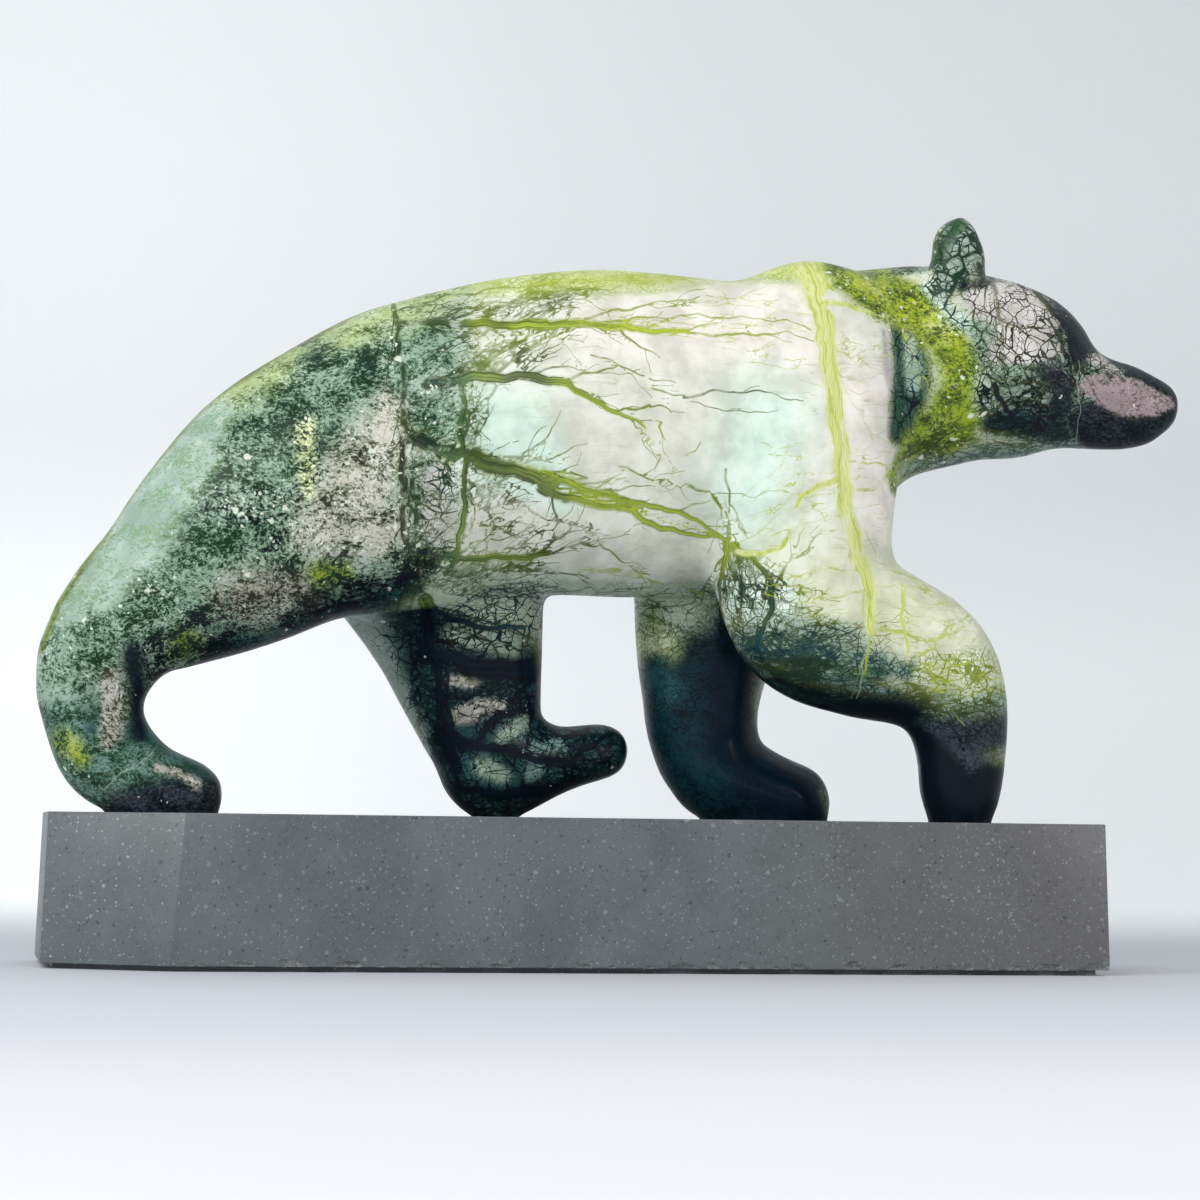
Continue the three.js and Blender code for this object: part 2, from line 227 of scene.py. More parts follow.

# How the stone's pattern is laid on, together with some painted highlights, painted reflections and painted fill light:
# each coat is brushed along a route of (across, down, radius) on the side view. "rag" is how torn its edge is, "soft"
# how wide the edge fades.
stoneCoats = [
    # the pale barrel of the body, back and belly
    dict(line="fern", soft=0.5, rag=0.5, route=[(400, 330, 60), (420, 440, 70), (410, 560, 40)]),
    dict(line="oliveDeep", soft=0.6, rag=0.5, route=[(520, 310, 26), (560, 300, 20), (480, 480, 40), (560, 530, 40)]),
    dict(line="olive", soft=0.6, rag=0.5, route=[(520, 330, 14), (590, 330, 26), (600, 390, 30), (640, 430, 20)]),
    dict(line="limeLeaf", route=[(640, 310, 24), (740, 330, 20), (800, 330, 16)]),
    dict(line="olive", route=[(600, 490, 26), (700, 505, 26), (725, 520, 14)]),
    dict(line="limeLeaf", route=[(660, 440, 20), (690, 470, 16)]),
    dict(line="oliveDeep", rag=0.5, route=[(690, 394, 12), (780, 398, 14)]),
    dict(ground="mint", hairs=0.1, route=[(500, 440, 62), (560, 500, 20)]),
    dict(ground="petal", hairs=0.5, soft=0.8, route=[(600, 330, 30), (780, 330, 40), (860, 400, 40)]),
    dict(ground="mint", hairs=0.2, soft=0.9, route=[(770, 420, 44), (745, 480, 40), (765, 520, 34)]),
    dict(ground="cream", hairs=0.4, soft=0.8, route=[(800, 575, 50), (870, 610, 60), (950, 620, 60)]),
    dict(ground="petal", soft=0.8, route=[(870, 450, 26), (880, 520, 22)]),
    dict(ground="limePale", line="limeLeaf", hairs=0.7, web=0.14, moss=0.16, soft=0.8,
         route=[(360, 300, 15), (440, 282, 18), (540, 276, 17), (640, 274, 14), (760, 268, 13), (850, 268, 16)]),
    # painted fill light: the belly's shaded underside is given a lighter ground
    dict(ground="shade", line="fern", hairs=0.4, web=0.1, soft=0.7,
         route=[(430, 574, 26), (520, 592, 28), (600, 600, 26), (700, 608, 24)]),
    dict(ground="teal", line="leafDeep", moss=0.5, soft=0.3, route=[(60, 690, 50), (90, 770, 60), (190, 800, 60), (140, 690, 30)]),
    # foliage over the rump
    dict(ground="leafGrey", line="leafDeep", moss=0.52, web=0.1, specks=0.45, hairs=0, soft=0.35, rag=2,
         route=[(300, 440, 96), (380, 400, 84), (300, 520, 96), (200, 560, 90), (110, 620, 80), (380, 520, 74)]),
    dict(ground="leafGrey", line="leafDeep", moss=0.36, web=0.1, specks=0.15, soft=0.8, rag=2,
         route=[(430, 330, 36), (440, 366, 20), (422, 400, 18), (418, 440, 12)]),
    dict(ground="pearl", line="leafDeep", moss=0.1, web=0.3, soft=0.9, rag=1.6,
         route=[(436, 480, 14), (438, 520, 16), (444, 545, 12)]),
    dict(ground="limeMist", line="oliveDeep", moss=0.26, web=0.06, specks=0.2, soft=0.8, rag=2,
         route=[(225, 370, 34), (300, 334, 42), (380, 310, 32), (450, 290, 16)]),
    dict(ground="leafGrey", line="leafDeep", moss=0.74, specks=0.1, soft=0.7, rag=2,
         route=[(330, 370, 28), (370, 375, 20), (258, 440, 26), (240, 480, 30), (270, 530, 34), (210, 540, 30)]),
    dict(ground="leafGrey", line="leafDeep", moss=0.5, specks=0.1, soft=0.8, rag=2, route=[(232, 440, 16)]),
    dict(ground="leafGrey", line="ink", moss=0.7, specks=1, soft=0.8, rag=2,
         route=[(225, 500, 16), (280, 505, 18), (320, 500, 12), (260, 560, 14)]),
    # pale patch on the haunch: the stone's pale foliage, partly lightened into a painted reflection
    dict(ground="shell", line="umber", moss=0.42, web=0.1, specks=0.8, soft=0.8, rag=1.6,
         route=[(388, 410, 18), (386, 450, 28), (356, 490, 36), (330, 525, 30), (385, 530, 26)]),
    # its brightest core, also partly painted reflection
    dict(ground="shell", moss=0.22, soft=0.8, route=[(392, 415, 8), (390, 450, 9), (376, 500, 7)]),
    dict(ground="sun", specks=0.8, moss=0.4, soft=0.8, rag=1.2, route=[(306, 428, 9), (308, 466, 9), (312, 492, 6)]),
    dict(ground="leafGrey", line="ink", moss=0.84, web=0.1, specks=0.2, rag=2,
         route=[(430, 556, 16), (384, 585, 24), (310, 606, 32), (240, 630, 36), (190, 650, 34), (150, 660, 26)]),
    dict(ground="teal", moss=0.8, soft=0.9, rag=2, route=[(400, 590, 16), (310, 622, 18), (230, 655, 24)]),
    dict(ground="silver", line="umber", moss=0.62, soft=0.9, rag=2, route=[(240, 592, 24), (300, 590, 18)]),
    dict(ground="limeLeaf", line="leafDeep", moss=0.6, soft=0.9, rag=1.4, route=[(325, 577, 15), (345, 570, 9)]),
    dict(ground="limeLeaf", line="leafDeep", moss=0.64, soft=0.9, rag=1.4, route=[(186, 642, 14)]),
    # the smooth pale slope along the back edge: partly the stone's mint ground, partly a painted sheen where the slope
    # catches the light
    dict(ground="slopeMint", line="leaf", moss=0.14, web=0.03, specks=0, soft=0.75, rag=2.2,
         route=[(222, 420, 14), (190, 446, 28), (156, 490, 34), (122, 540, 32), (92, 590, 28), (66, 622, 22)]),
    dict(ground="leafGrey", line="leafDeep", moss=0.6, specks=0.4, soft=0.8, rag=2,
         route=[(70, 640, 14), (120, 630, 26), (150, 610, 22)]),
    # the same pale slope and its painted sheen, running down onto the hind leg
    dict(ground="slopeMint", line="leafDeep", moss=0.3, specks=0.1, soft=0.8, rag=1.6,
         route=[(40, 660, 24), (52, 690, 28), (60, 715, 18)]),
    dict(ground="tealPale", line="leafDeep", moss=0.54, web=0.1, specks=0.15, soft=0.7, rag=1.6,
         route=[(60, 730, 26), (60, 760, 34), (90, 785, 44), (150, 775, 26)]),
    dict(ground="limeLeaf", line="leafDeep", moss=0.45, soft=0.9, route=[(64, 742, 12), (84, 756, 11)]),
    dict(ground="tealPale", line="leafDeep", moss=0.5, soft=0.9, route=[(104, 742, 9), (128, 768, 8)]),
    dict(ground="slate", line="ink", moss=0.6, web=0.2, specks=0.1, soft=0.6, rag=0.7,
         route=[(120, 808, 16), (170, 800, 24), (215, 800, 30)]),
    # painted highlights: a silver sheen down the near hind shin and along the top of its toe
    dict(ground="silver", line="umber", moss=0.5, side="near", rag=0.9,
         route=[(113, 678, 9), (114, 705, 12), (112, 738, 11)]),
    dict(ground="silver", line="umber", moss=0.26, side="near", soft=0.7, rag=0.7, route=[(160, 766, 3), (180, 772, 4), (197, 780, 5)]),
    dict(ground="navy", line="ink", moss=0.8, side="near", soft=0.8,
         route=[(135, 655, 11), (134, 700, 6), (142, 735, 8)]),
    # the thin olive line along the back edge
    dict(ground="olive", line="oliveDeep", moss=0.3, soft=0.9, rag=0.4,
         route=[(40, 652, 2), (56, 606, 3), (89, 555, 3), (120, 509, 3), (152, 464, 3), (182, 430, 3), (212, 400, 3),
                (242, 378, 3), (272, 359, 3), (302, 341, 3), (332, 324, 3), (362, 309, 3), (392, 299, 3)]),
    # far hind leg
    # painted fill light: lighter ground where the far hind leg meets the belly in shade
    dict(ground="shade", line="tealDeep", moss=0, web=0.34, hairs=0.2, specks=0, side="far", soft=0.4,
         route=[(350, 590, 50), (450, 600, 60), (520, 600, 40)]),
    dict(ground="teal", line="ink", moss=0.1, web=0.6, specks=0.03, side="far", soft=0.3,
         route=[(400, 650, 60), (450, 690, 70), (500, 700, 70), (470, 780, 90), (560, 770, 90), (640, 770, 60)]),
    # painted fill light: the far hind leg's shaded back edge is painted lighter
    dict(ground="slopeMint", line="tealDeep", web=0.12, moss=0, side="far", soft=0.7,
         route=[(345, 590, 26), (378, 655, 18), (408, 715, 14), (422, 750, 9)]),
    # painted fill light here too
    dict(ground="shade", line="tealDeep", web=0.3, moss=0, side="far", rag=0.8, route=[(450, 600, 14), (520, 605, 22)]),
    dict(ground="leafGrey", line="ink", web=0.3, moss=0, side="far", rag=0.8, route=[(455, 637, 12), (510, 645, 12)]),
    dict(ground="silver", line="ink", web=0.2, side="far", soft=0.5, rag=0.5, route=[(450, 682, 6), (472, 683, 7)]),
    dict(ground="silver", line="ink", web=0.22, side="far", soft=0.5, rag=0.5,
         route=[(456, 718, 8), (480, 708, 10), (500, 703, 5)]),
    dict(ground="leafGrey", line="ink", web=0.26, side="far", rag=0.6, route=[(500, 735, 8), (520, 722, 9)]),
    dict(ground="leafGrey", line="ink", web=0.26, side="far", rag=0.6, route=[(480, 765, 9), (503, 775, 8)]),
    dict(ground="tealPale", line="ink", web=0.24, side="far", rag=0.6, route=[(535, 774, 9), (535, 748, 9), (560, 745, 9)]),
    # far foreleg
    dict(ground="tealDeep", line="ink", web=0.2, moss=0.3, hairs=0, specks=0, side="far", soft=0.3,
         route=[(735, 610, 40), (690, 690, 60), (700, 740, 60), (740, 790, 60), (800, 800, 50)]),
    # painted fill light: lighter ground on the shaded top of the far foreleg
    dict(ground="shade", line="fern", web=0.16, moss=0, hairs=0.6, side="far", soft=0.5,
         route=[(640, 590, 46), (680, 596, 38), (706, 590, 20)]),
    dict(ground="limeMist", line="oliveDeep", web=0.2, moss=0.1, side="far", soft=0.8, rag=1.2,
         route=[(646, 632, 26), (668, 645, 16)]),
    dict(ground="teal", line="tealDeep", web=0.4, moss=0.3, side="far", soft=0.9, route=[(655, 674, 16), (668, 690, 12)]),
    dict(ground="navy", line="ink", web=0.1, moss=0.2, side="far", soft=0.6,
         route=[(735, 660, 24), (728, 720, 20), (720, 765, 24), (780, 795, 34), (820, 810, 20)]),
    dict(ground="tealDeep", line="navy", web=0.2, moss=0.4, side="far", soft=0.9, route=[(690, 760, 12), (720, 780, 14)]),
    dict(ground="leaf", line="ink", web=0.5, moss=0.6, side="far", soft=0.8, route=[(826, 788, 6), (830, 802, 6)]),
    # near shoulder and foreleg
    dict(ground="mint", line="leafDeep", web=0.2, hairs=0.1, side="near", route=[(722, 590, 14), (745, 590, 30), (775, 605, 26)]),
    dict(ground="mist", line="leafDeep", web=0.36, hairs=0.8, side="near", soft=0.9,
         route=[(725, 640, 16), (790, 630, 14), (850, 632, 9)]),
    dict(ground="leafGrey", line="tealDeep", web=0.5, hairs=1, moss=0.05, side="near", soft=0.8,
         route=[(745, 648, 16), (800, 648, 16), (860, 656, 16), (905, 668, 10)]),
    dict(ground="pine", line="ink", web=0.62, moss=0.2, hairs=1, side="near", soft=0.5, rag=0.8,
         route=[(722, 660, 16), (750, 690, 34), (800, 712, 42), (860, 728, 48), (910, 735, 44)]),
    dict(ground="pine", line="leafDeep", web=0.4, moss=0.1, hairs=1, side="near", soft=0.9,
         route=[(800, 668, 8), (850, 675, 9), (880, 668, 8)]),
    dict(ground="leafGrey", line="leafDeep", web=0.3, hairs=1, moss=0, side="near", soft=0.5, rag=0.6,
         route=[(790, 664, 4), (812, 664, 6), (830, 670, 4)]),
    dict(ground="tealPale", line="leafDeep", web=0.4, hairs=1, moss=0, side="near", soft=0.6,
         route=[(760, 670, 4), (870, 686, 5), (895, 692, 4)]),
    dict(ground="leaf", line="leafDeep", web=0.5, hairs=1, moss=0.2, side="near", soft=0.8,
         route=[(790, 660, 4), (830, 664, 6), (865, 676, 4)]),
    dict(ground="ink", line="ink", web=0.3, moss=0.5, hairs=0.4, side="near", soft=0.4, rag=0.5,
         route=[(750, 698, 10), (800, 718, 18), (850, 722, 24), (900, 718, 22), (914, 760, 26)]),
    dict(ground="cream", line="olive", web=0.26, hairs=0.9, moss=0, side="near", soft=0.5,
         route=[(935, 672, 18), (960, 676, 24), (1000, 680, 30)]),
    dict(ground="leafGrey", line="oliveDeep", web=0.44, hairs=1, moss=0.2, side="near", soft=0.7,
         route=[(940, 704, 12), (965, 706, 14), (1000, 700, 14)]),
    dict(ground="slate", line="ink", web=0.3, moss=0.3, hairs=0.3, side="near", rag=0.7,
         route=[(936, 736, 20), (975, 736, 24), (1010, 728, 20)]),
    dict(ground="ink", line="ink", web=0.1, moss=0.6, hairs=0, specks=0.02, side="near", soft=0.35, rag=0.6,
         route=[(915, 735, 12), (935, 775, 34), (960, 800, 60), (1000, 790, 30)]),
    dict(ground="slate", line="ink", moss=0.2, side="near", soft=0.9, rag=0.6, route=[(966, 742, 16), (972, 765, 9)]),
    # the inner side of the same leg
    dict(ground="leafGrey", line="leafDeep", web=0.44, hairs=1, moss=0.3, side="far", soft=0.7, rag=1.2,
         route=[(880, 700, 40), (960, 700, 44), (1040, 700, 40)]),
    dict(ground="ink", line="ink", web=0.1, moss=0.5, side="far", soft=0.45, rag=0.9,
         route=[(890, 780, 50), (960, 790, 56), (1050, 790, 50)]),
    # neck
    dict(ground="pine", line="ink", web=0.36, hairs=0, moss=0.14, specks=0.05, soft=0.3, rag=0.8,
         route=[(905, 330, 15), (912, 380, 20), (907, 430, 18), (930, 440, 24)]),
    # painted highlight: a thin silver sheen along the shoulder's edge by the neck
    dict(ground="silver", line="tealDeep", web=0.1, soft=0.8, rag=0.3, route=[(884, 330, 3), (887, 370, 4), (890, 395, 2)]),
    dict(ground="leafGrey", line="tealDeep", web=0.34, moss=0, soft=0.5, rag=0.3,
         route=[(909, 336, 6), (911, 352, 7), (914, 374, 10), (914, 388, 7)]),
    dict(ground="limeLeaf", line="oliveDeep", web=0.06, moss=0.44, specks=0.5, hairs=0.2, soft=0.35, rag=1.2,
         route=[(835, 268, 14), (866, 282, 20), (900, 298, 24), (935, 322, 28), (962, 356, 28),
                (966, 392, 28), (948, 430, 26), (925, 456, 22), (898, 478, 14)]),
    dict(ground="lime", line="oliveDeep", web=0.05, moss=0.36, specks=0.5, soft=0.8, rag=1.2,
         route=[(850, 276, 8), (880, 292, 14), (915, 304, 16), (945, 330, 14), (978, 352, 8)]),
    dict(ground="limeLeaf", line="leafDeep", web=0.05, moss=0.3, soft=0.8, route=[(978, 372, 10), (974, 394, 10)]),
    dict(ground="leafGrey", line="oliveDeep", web=0.3, moss=0.4, soft=0.8, route=[(910, 470, 8), (935, 462, 10)]),
    dict(ground="mist", line="leafDeep", web=0.3, moss=0.5, specks=0.1, route=[(895, 268, 5), (935, 266, 7)]),
    dict(ground="mint", line="leafDeep", web=0.3, moss=0, specks=0.1, route=[(932, 286, 8), (952, 312, 8), (974, 326, 10)]),
    dict(ground="mint", line="olive", web=0.2, specks=0.2, route=[(992, 336, 5), (993, 355, 6)]),
    # ear, head and jaw
    dict(ground="leafGrey", line="ink", web=0.4, moss=0.2, soft=0.25, rag=0.5,
         route=[(1010, 340, 40), (1040, 370, 60), (1080, 400, 60), (1130, 400, 70)]),
    dict(ground="mist", line="leafDeep", web=0.44, moss=0, specks=0.1, soft=0.4, rag=0.8,
         route=[(962, 222, 26), (962, 250, 30), (955, 270, 22), (945, 288, 12)]),
    dict(ground="fern", line="leafDeep", web=0.4, moss=0.2, soft=0.9, route=[(955, 222, 8), (944, 236, 7), (936, 262, 6)]),
    dict(ground="slate", line="ink", web=0.6, moss=0.3, soft=0.8, route=[(985, 272, 7), (1000, 280, 6), (966, 286, 5)]),
    dict(ground="silver", line="ink", web=0.5, moss=0.2, specks=0, soft=0.4,
         route=[(1000, 268, 16), (1040, 284, 20), (1080, 320, 20), (1104, 350, 20), (1140, 366, 16)]),
    dict(ground="pearl", line="umber", web=0.34, moss=0, specks=0.05, hairs=0, soft=0.4,
         route=[(985, 300, 16), (1014, 306, 26), (1030, 336, 32), (1044, 336, 22), (1005, 350, 20)]),
    dict(ground="silver", line="ink", web=0.44, moss=0.05, soft=0.7, route=[(1062, 322, 10), (1062, 344, 12)]),
    dict(ground="pearl", line="umber", web=0.08, soft=0.7, rag=0.6, route=[(985, 298, 9), (998, 290, 7)]),
    dict(ground="pearl", line="umber", web=0.22, soft=0.7, rag=0.6, route=[(1025, 315, 14), (1018, 342, 14), (1028, 352, 10)]),
    dict(ground="slate", line="ink", web=0.56, moss=0.4, soft=0.8, route=[(1056, 304, 5), (1074, 330, 6), (1080, 356, 7)]),
    dict(ground="mist", line="ink", web=0.5, moss=0.1, specks=0.05, soft=0.5,
         route=[(1000, 395, 26), (1040, 400, 30), (1068, 395, 20)]),
    dict(ground="leafGrey", line="ink", web=0.2, soft=0.6, rag=0.5, route=[(1017, 370, 7), (996, 372, 5)]),
    dict(ground="slate", line="ink", web=0.5, moss=0.4, specks=0.1, soft=0.8,
         route=[(1050, 372, 12), (1064, 392, 14), (1062, 412, 12)]),
    dict(ground="teal", line="ink", web=0.5, hairs=1, moss=0.3, soft=0.7, rag=0.8,
         route=[(990, 424, 10), (1020, 424, 16), (1060, 432, 14)]),
    dict(ground="leafGrey", line="tealDeep", web=0.36, hairs=1, moss=0.2, soft=0.8, rag=0.6,
         route=[(940, 470, 8), (985, 458, 16), (1040, 456, 12), (1075, 452, 10)]),
    # muzzle
    dict(ground="slate", line="ink", web=0.5, moss=0.7, specks=0.05, hairs=0, soft=0.25, rag=0.3,
         route=[(1098, 425, 26), (1130, 425, 34), (1160, 415, 36)]),
    dict(ground="slate", line="ink", web=0.56, moss=0.4, soft=0.4, rag=0.4,
         route=[(1085, 345, 12), (1110, 356, 12), (1150, 374, 12), (1180, 396, 10)]),
    dict(ground="silver", line="ink", web=0.3, moss=0.1, rag=0.6, route=[(1094, 356, 6), (1106, 366, 6), (1120, 370, 3)]),
    # painted reflection: the pinkish sheen over the muzzle's upper side
    dict(ground="rose", line="umber", web=0, moss=0.2, specks=0.08, soft=0.12, rag=0.5,
         route=[(1089, 386, 10), (1105, 390, 17), (1130, 398, 20), (1150, 403, 15), (1166, 403, 8)]),
]

# Veins of the stone: each is (kind, first half-width, last half-width, twigs for 100 units, route)
stoneVeins = [
    # the fan of branches over the loin
    ("stem", 2.4, 5.0, 14, [(400, 322), (470, 324), (545, 325)]),
    ("stem", 4.4, 1.6, 8, [(545, 325), (591, 323), (634, 329), (689, 333)]),
    ("twig", 1.2, 0.5, 3, [(689, 333), (726, 335), (787, 333), (815, 340)]),
    ("twig", 1.4, 0.5, 5, [(585, 318), (612, 312), (650, 304), (700, 297)]),
    ("twig", 1.0, 0.5, 3, [(604, 321), (695, 315), (787, 321), (812, 330)]),
    ("twig", 1.6, 0.5, 16, [(440, 352), (478, 322), (520, 302), (588, 287)]),
    ("twig", 1.4, 0.5, 14, [(470, 330), (500, 306), (540, 292), (598, 291)]),
    ("twig", 1.6, 0.5, 14, [(462, 372), (500, 352), (540, 332), (585, 322)]),
    ("twig", 1.4, 0.5, 12, [(480, 370), (520, 356), (548, 338), (570, 328)]),
    ("twig", 1.2, 0.5, 10, [(400, 310), (450, 296), (500, 288), (560, 284)]),
    # middle branch
    ("stem", 4.6, 4.0, 12, [(425, 385), (472, 377), (521, 376), (567, 382)]),
    ("stem", 3.0, 1.2, 10, [(567, 382), (582, 395), (616, 411), (646, 427)]),
    ("twig", 1.8, 0.6, 6, [(567, 382), (582, 373), (616, 368)]),
    ("twig", 1.4, 0.5, 4, [(619, 410), (659, 405), (671, 413)]),
    ("twig", 2.0, 0.8, 8, [(425, 380), (460, 372), (500, 384), (470, 415), (462, 432)]),
    # dark hair-cracks
    ("twig", 0.8, 0.5, 2, [(591, 355), (634, 370), (653, 381), (677, 381)]),
    ("twig", 1.1, 0.5, 2, [(683, 397), (692, 396), (720, 391), (760, 392), (803, 401)]),
    ("twig", 0.9, 0.5, 3, [(652, 388), (670, 393), (684, 396)]),
    ("twig", 0.5, 0.4, 1, [(689, 401), (726, 410), (751, 413), (781, 410)]),
    ("twig", 1.0, 0.5, 5, [(521, 456), (542, 441), (555, 425), (562, 410)]),
    ("twig", 0.9, 0.5, 3, [(656, 421), (664, 434), (667, 440)]),
    ("twig", 1.0, 0.5, 3, [(684, 456), (694, 450), (701, 441)]),
    # the long branch that falls to the armpit
    ("stem", 6.0, 9.5, 22, [(405, 430), (430, 446), (466, 456)]),
    ("stem", 9.5, 7.0, 14, [(466, 456), (497, 466), (530, 474), (552, 482)]),
    ("stem", 4.6, 3.0, 6, [(545, 474), (579, 487), (610, 496), (634, 503)]),
    ("stem", 3.0, 1.2, 5, [(634, 503), (674, 510), (695, 520), (726, 538)]),
    ("stem", 4.6, 3.0, 7, [(542, 488), (567, 499), (604, 505), (634, 512)]),
    ("stem", 3.0, 1.2, 5, [(634, 512), (659, 529), (683, 532), (729, 540)]),
    ("twig", 1.6, 0.6, 8, [(686, 485), (714, 494), (722, 515), (729, 538)]),
    ("twig", 1.2, 0.5, 8, [(619, 466), (646, 477), (665, 480), (682, 490)]),
    ("twig", 1.0, 0.5, 5, [(660, 456), (653, 470)]),
    ("twig", 1.2, 0.6, 6, [(726, 470), (729, 505), (738, 514), (744, 528)]),
    ("twig", 1.0, 0.6, 6, [(712, 494), (728, 520), (730, 540)]),
    ("twig", 1.2, 0.5, 7, [(590, 523), (604, 548), (622, 563), (650, 575)]),
    # upright stems at the loin
    ("stem", 2.6, 3.0, 14, [(394, 306), (399, 340), (405, 390), (402, 440)]),
    ("stem", 3.0, 2.6, 12, [(402, 440), (403, 500), (405, 560), (412, 600)]),
    ("stem", 2.4, 2.6, 8, [(412, 480), (416, 520), (412, 560)]),
    ("stem", 2.4, 3.0, 8, [(462, 385), (463, 410), (461, 440)]),
    ("stem", 2.6, 2.4, 10, [(463, 440), (465, 500), (459, 545), (450, 566)]),
    # along the belly
    ("stem", 3.6, 3.0, 20, [(410, 548), (451, 557), (512, 558), (548, 554)]),
    ("twig", 1.6, 0.6, 12, [(548, 554), (579, 545), (602, 545)]),
    ("twig", 1.4, 0.6, 8, [(448, 560), (497, 566), (542, 570), (590, 578)]),
    ("twig", 1.4, 0.6, 8, [(430, 560), (472, 581), (515, 594), (556, 600)]),
    ("twig", 1.2, 0.6, 12, [(552, 497), (556, 520), (552, 554)]),
    ("twig", 1.6, 0.6, 16, [(466, 470), (480, 500), (500, 530), (540, 552)]),
    ("twig", 1.4, 0.6, 14, [(468, 480), (512, 500), (548, 520), (590, 525)]),
    ("lime", 2.0, 1.2, 5, [(579, 572), (610, 569), (640, 575), (665, 584), (708, 594)]),
    # armpit and shoulder
    ("twig", 2.4, 0.8, 22, [(729, 538), (722, 570), (719, 610), (724, 640)]),
    ("twig", 2.2, 0.8, 22, [(732, 545), (742, 575), (738, 610), (728, 645)]),
    ("stem", 3.0, 2.0, 28, [(731, 542), (752, 560), (772, 580), (770, 610), (756, 650)]),
    ("twig", 2.0, 0.8, 22, [(770, 588), (795, 606), (830, 618), (866, 628)]),
    ("twig", 1.8, 0.8, 18, [(766, 600), (782, 622), (815, 634), (858, 640)]),
    ("twig", 2.0, 0.7, 16, [(772, 588), (786, 566), (806, 550), (812, 546)]),
    ("lime", 3.0, 1.8, 10, [(738, 552), (760, 556), (777, 549), (787, 538)]),
    ("lime", 1.6, 0.9, 10, [(787, 538), (800, 527), (820, 519), (839, 511)]),
    ("lime", 1.0, 0.7, 6, [(787, 540), (812, 532), (836, 530)]),
    ("lime", 1.4, 1.0, 4, [(784, 465), (800, 474), (834, 474)]),
    ("lime", 1.8, 3.4, 4, [(796, 507), (803, 493), (818, 486), (842, 480)]),
    ("lime", 1.4, 1.0, 4, [(849, 462), (870, 462), (888, 465)]),
    ("lime", 1.2, 1.2, 4, [(856, 490), (876, 490), (888, 474)]),
    ("lime", 1.2, 0.8, 4, [(833, 349), (858, 359), (882, 370)]),
    ("lime", 2.6, 1.4, 4, [(826, 302), (850, 306), (872, 312)]),
    ("lime", 14.0, 9.0, 3, [(806, 268), (816, 285), (822, 310), (826, 340)]),
    ("lime", 9.0, 7.6, 3, [(826, 340), (830, 370), (834, 400), (838, 430), (842, 470)]),
    ("lime", 7.6, 7.0, 3, [(842, 470), (846, 505), (852, 535), (859, 556)]),
    ("lime", 7.0, 4.0, 2, [(859, 556), (867, 572), (871, 600), (871, 632)]),
    ("lime", 2.2, 0.9, 3, [(871, 628), (869, 656), (862, 676)]),
    ("pale", 1.4, 0.6, 0, [(868, 640), (862, 676), (856, 698)]),
    ("lime", 1.4, 1.0, 6, [(790, 576), (823, 570), (864, 569)]),
    ("lime", 1.4, 1.2, 6, [(796, 592), (836, 598), (866, 590)]),
    ("lime", 1.0, 0.8, 4, [(872, 586), (900, 585), (930, 590)]),
    ("lime", 1.2, 0.8, 5, [(892, 570), (912, 578), (932, 590)]),
    ("lime", 2.2, 1.8, 6, [(874, 629), (903, 634), (930, 640), (948, 636)]),
    ("lime", 1.8, 1.0, 8, [(948, 636), (970, 623), (985, 612)]),
    ("lime", 2.4, 1.4, 4, [(903, 586), (903, 614), (907, 656)]),
    ("lime", 1.8, 1.2, 8, [(908, 664), (932, 645), (952, 625), (974, 612)]),
    ("lime", 2.2, 1.0, 10, [(912, 672), (948, 666), (981, 660)]),
    ("lime", 2.0, 1.0, 10, [(924, 677), (959, 680), (984, 674)]),
    ("lime", 1.4, 0.9, 8, [(930, 690), (960, 696), (985, 690)]),
    ("twig", 2.0, 0.8, 14, [(900, 664), (930, 672), (960, 690), (990, 672)]),
    # far hind leg
    ("stem", 6.5, 7.0, 14, [(417, 575), (424, 610), (430, 650), (436, 665)]),
    ("stem", 2.2, 2.2, 12, [(408, 590), (411, 650), (414, 700), (424, 740)]),
    ("stem", 3.6, 4.0, 14, [(436, 665), (444, 720), (454, 770), (462, 812)]),
    ("stem", 1.8, 2.4, 12, [(446, 668), (450, 720), (460, 770)]),
    ("stem", 3.0, 2.0, 12, [(421, 592), (438, 609), (451, 619), (477, 627), (524, 628)]),
    ("stem", 9.0, 12.0, 8, [(424, 655), (460, 664), (500, 670), (540, 668)]),
    ("stem", 4.0, 3.4, 14, [(438, 742), (470, 745), (496, 749), (522, 756), (568, 765)]),
    ("stem", 2.4, 1.6, 12, [(568, 765), (587, 745), (612, 734)]),
    ("stem", 3.0, 2.6, 12, [(476, 745), (487, 724), (512, 712), (535, 706)]),
    ("stem", 4.0, 6.0, 8, [(465, 790), (500, 794), (540, 793), (580, 785)]),
    ("twig", 1.8, 1.2, 10, [(516, 750), (528, 760), (520, 790)]),
    ("twig", 1.6, 1.0, 10, [(540, 735), (580, 735), (576, 765)]),
    ("twig", 2.0, 1.4, 10, [(446, 700), (470, 696), (500, 694), (520, 704)]),
    # head and jaw
    ("stem", 2.2, 1.2, 14, [(990, 270), (996, 300), (1003, 330), (1000, 360), (1010, 376)]),
    ("twig", 1.8, 0.8, 16, [(1000, 318), (1020, 326), (1044, 330), (1064, 345)]),
    ("stem", 2.4, 1.8, 14, [(1024, 280), (1048, 304), (1068, 332), (1076, 370)]),
    ("stem", 3.0, 1.2, 14, [(994, 384), (1004, 408), (1014, 420), (1028, 436)]),
    ("twig", 1.8, 0.8, 12, [(990, 378), (1020, 378), (1052, 390)]),
    ("twig", 1.6, 0.8, 14, [(1000, 400), (1040, 410), (1074, 418)]),
    # thin pale seams
    ("pale", 0.5, 0.5, 0, [(1078, 360), (1079, 400), (1078, 446)]),
    ("pale", 1.2, 0.8, 0, [(104, 790), (118, 776), (132, 768), (152, 751)]),
    ("pale", 0.8, 0.5, 0, [(180, 664), (194, 656), (206, 650)]),
]

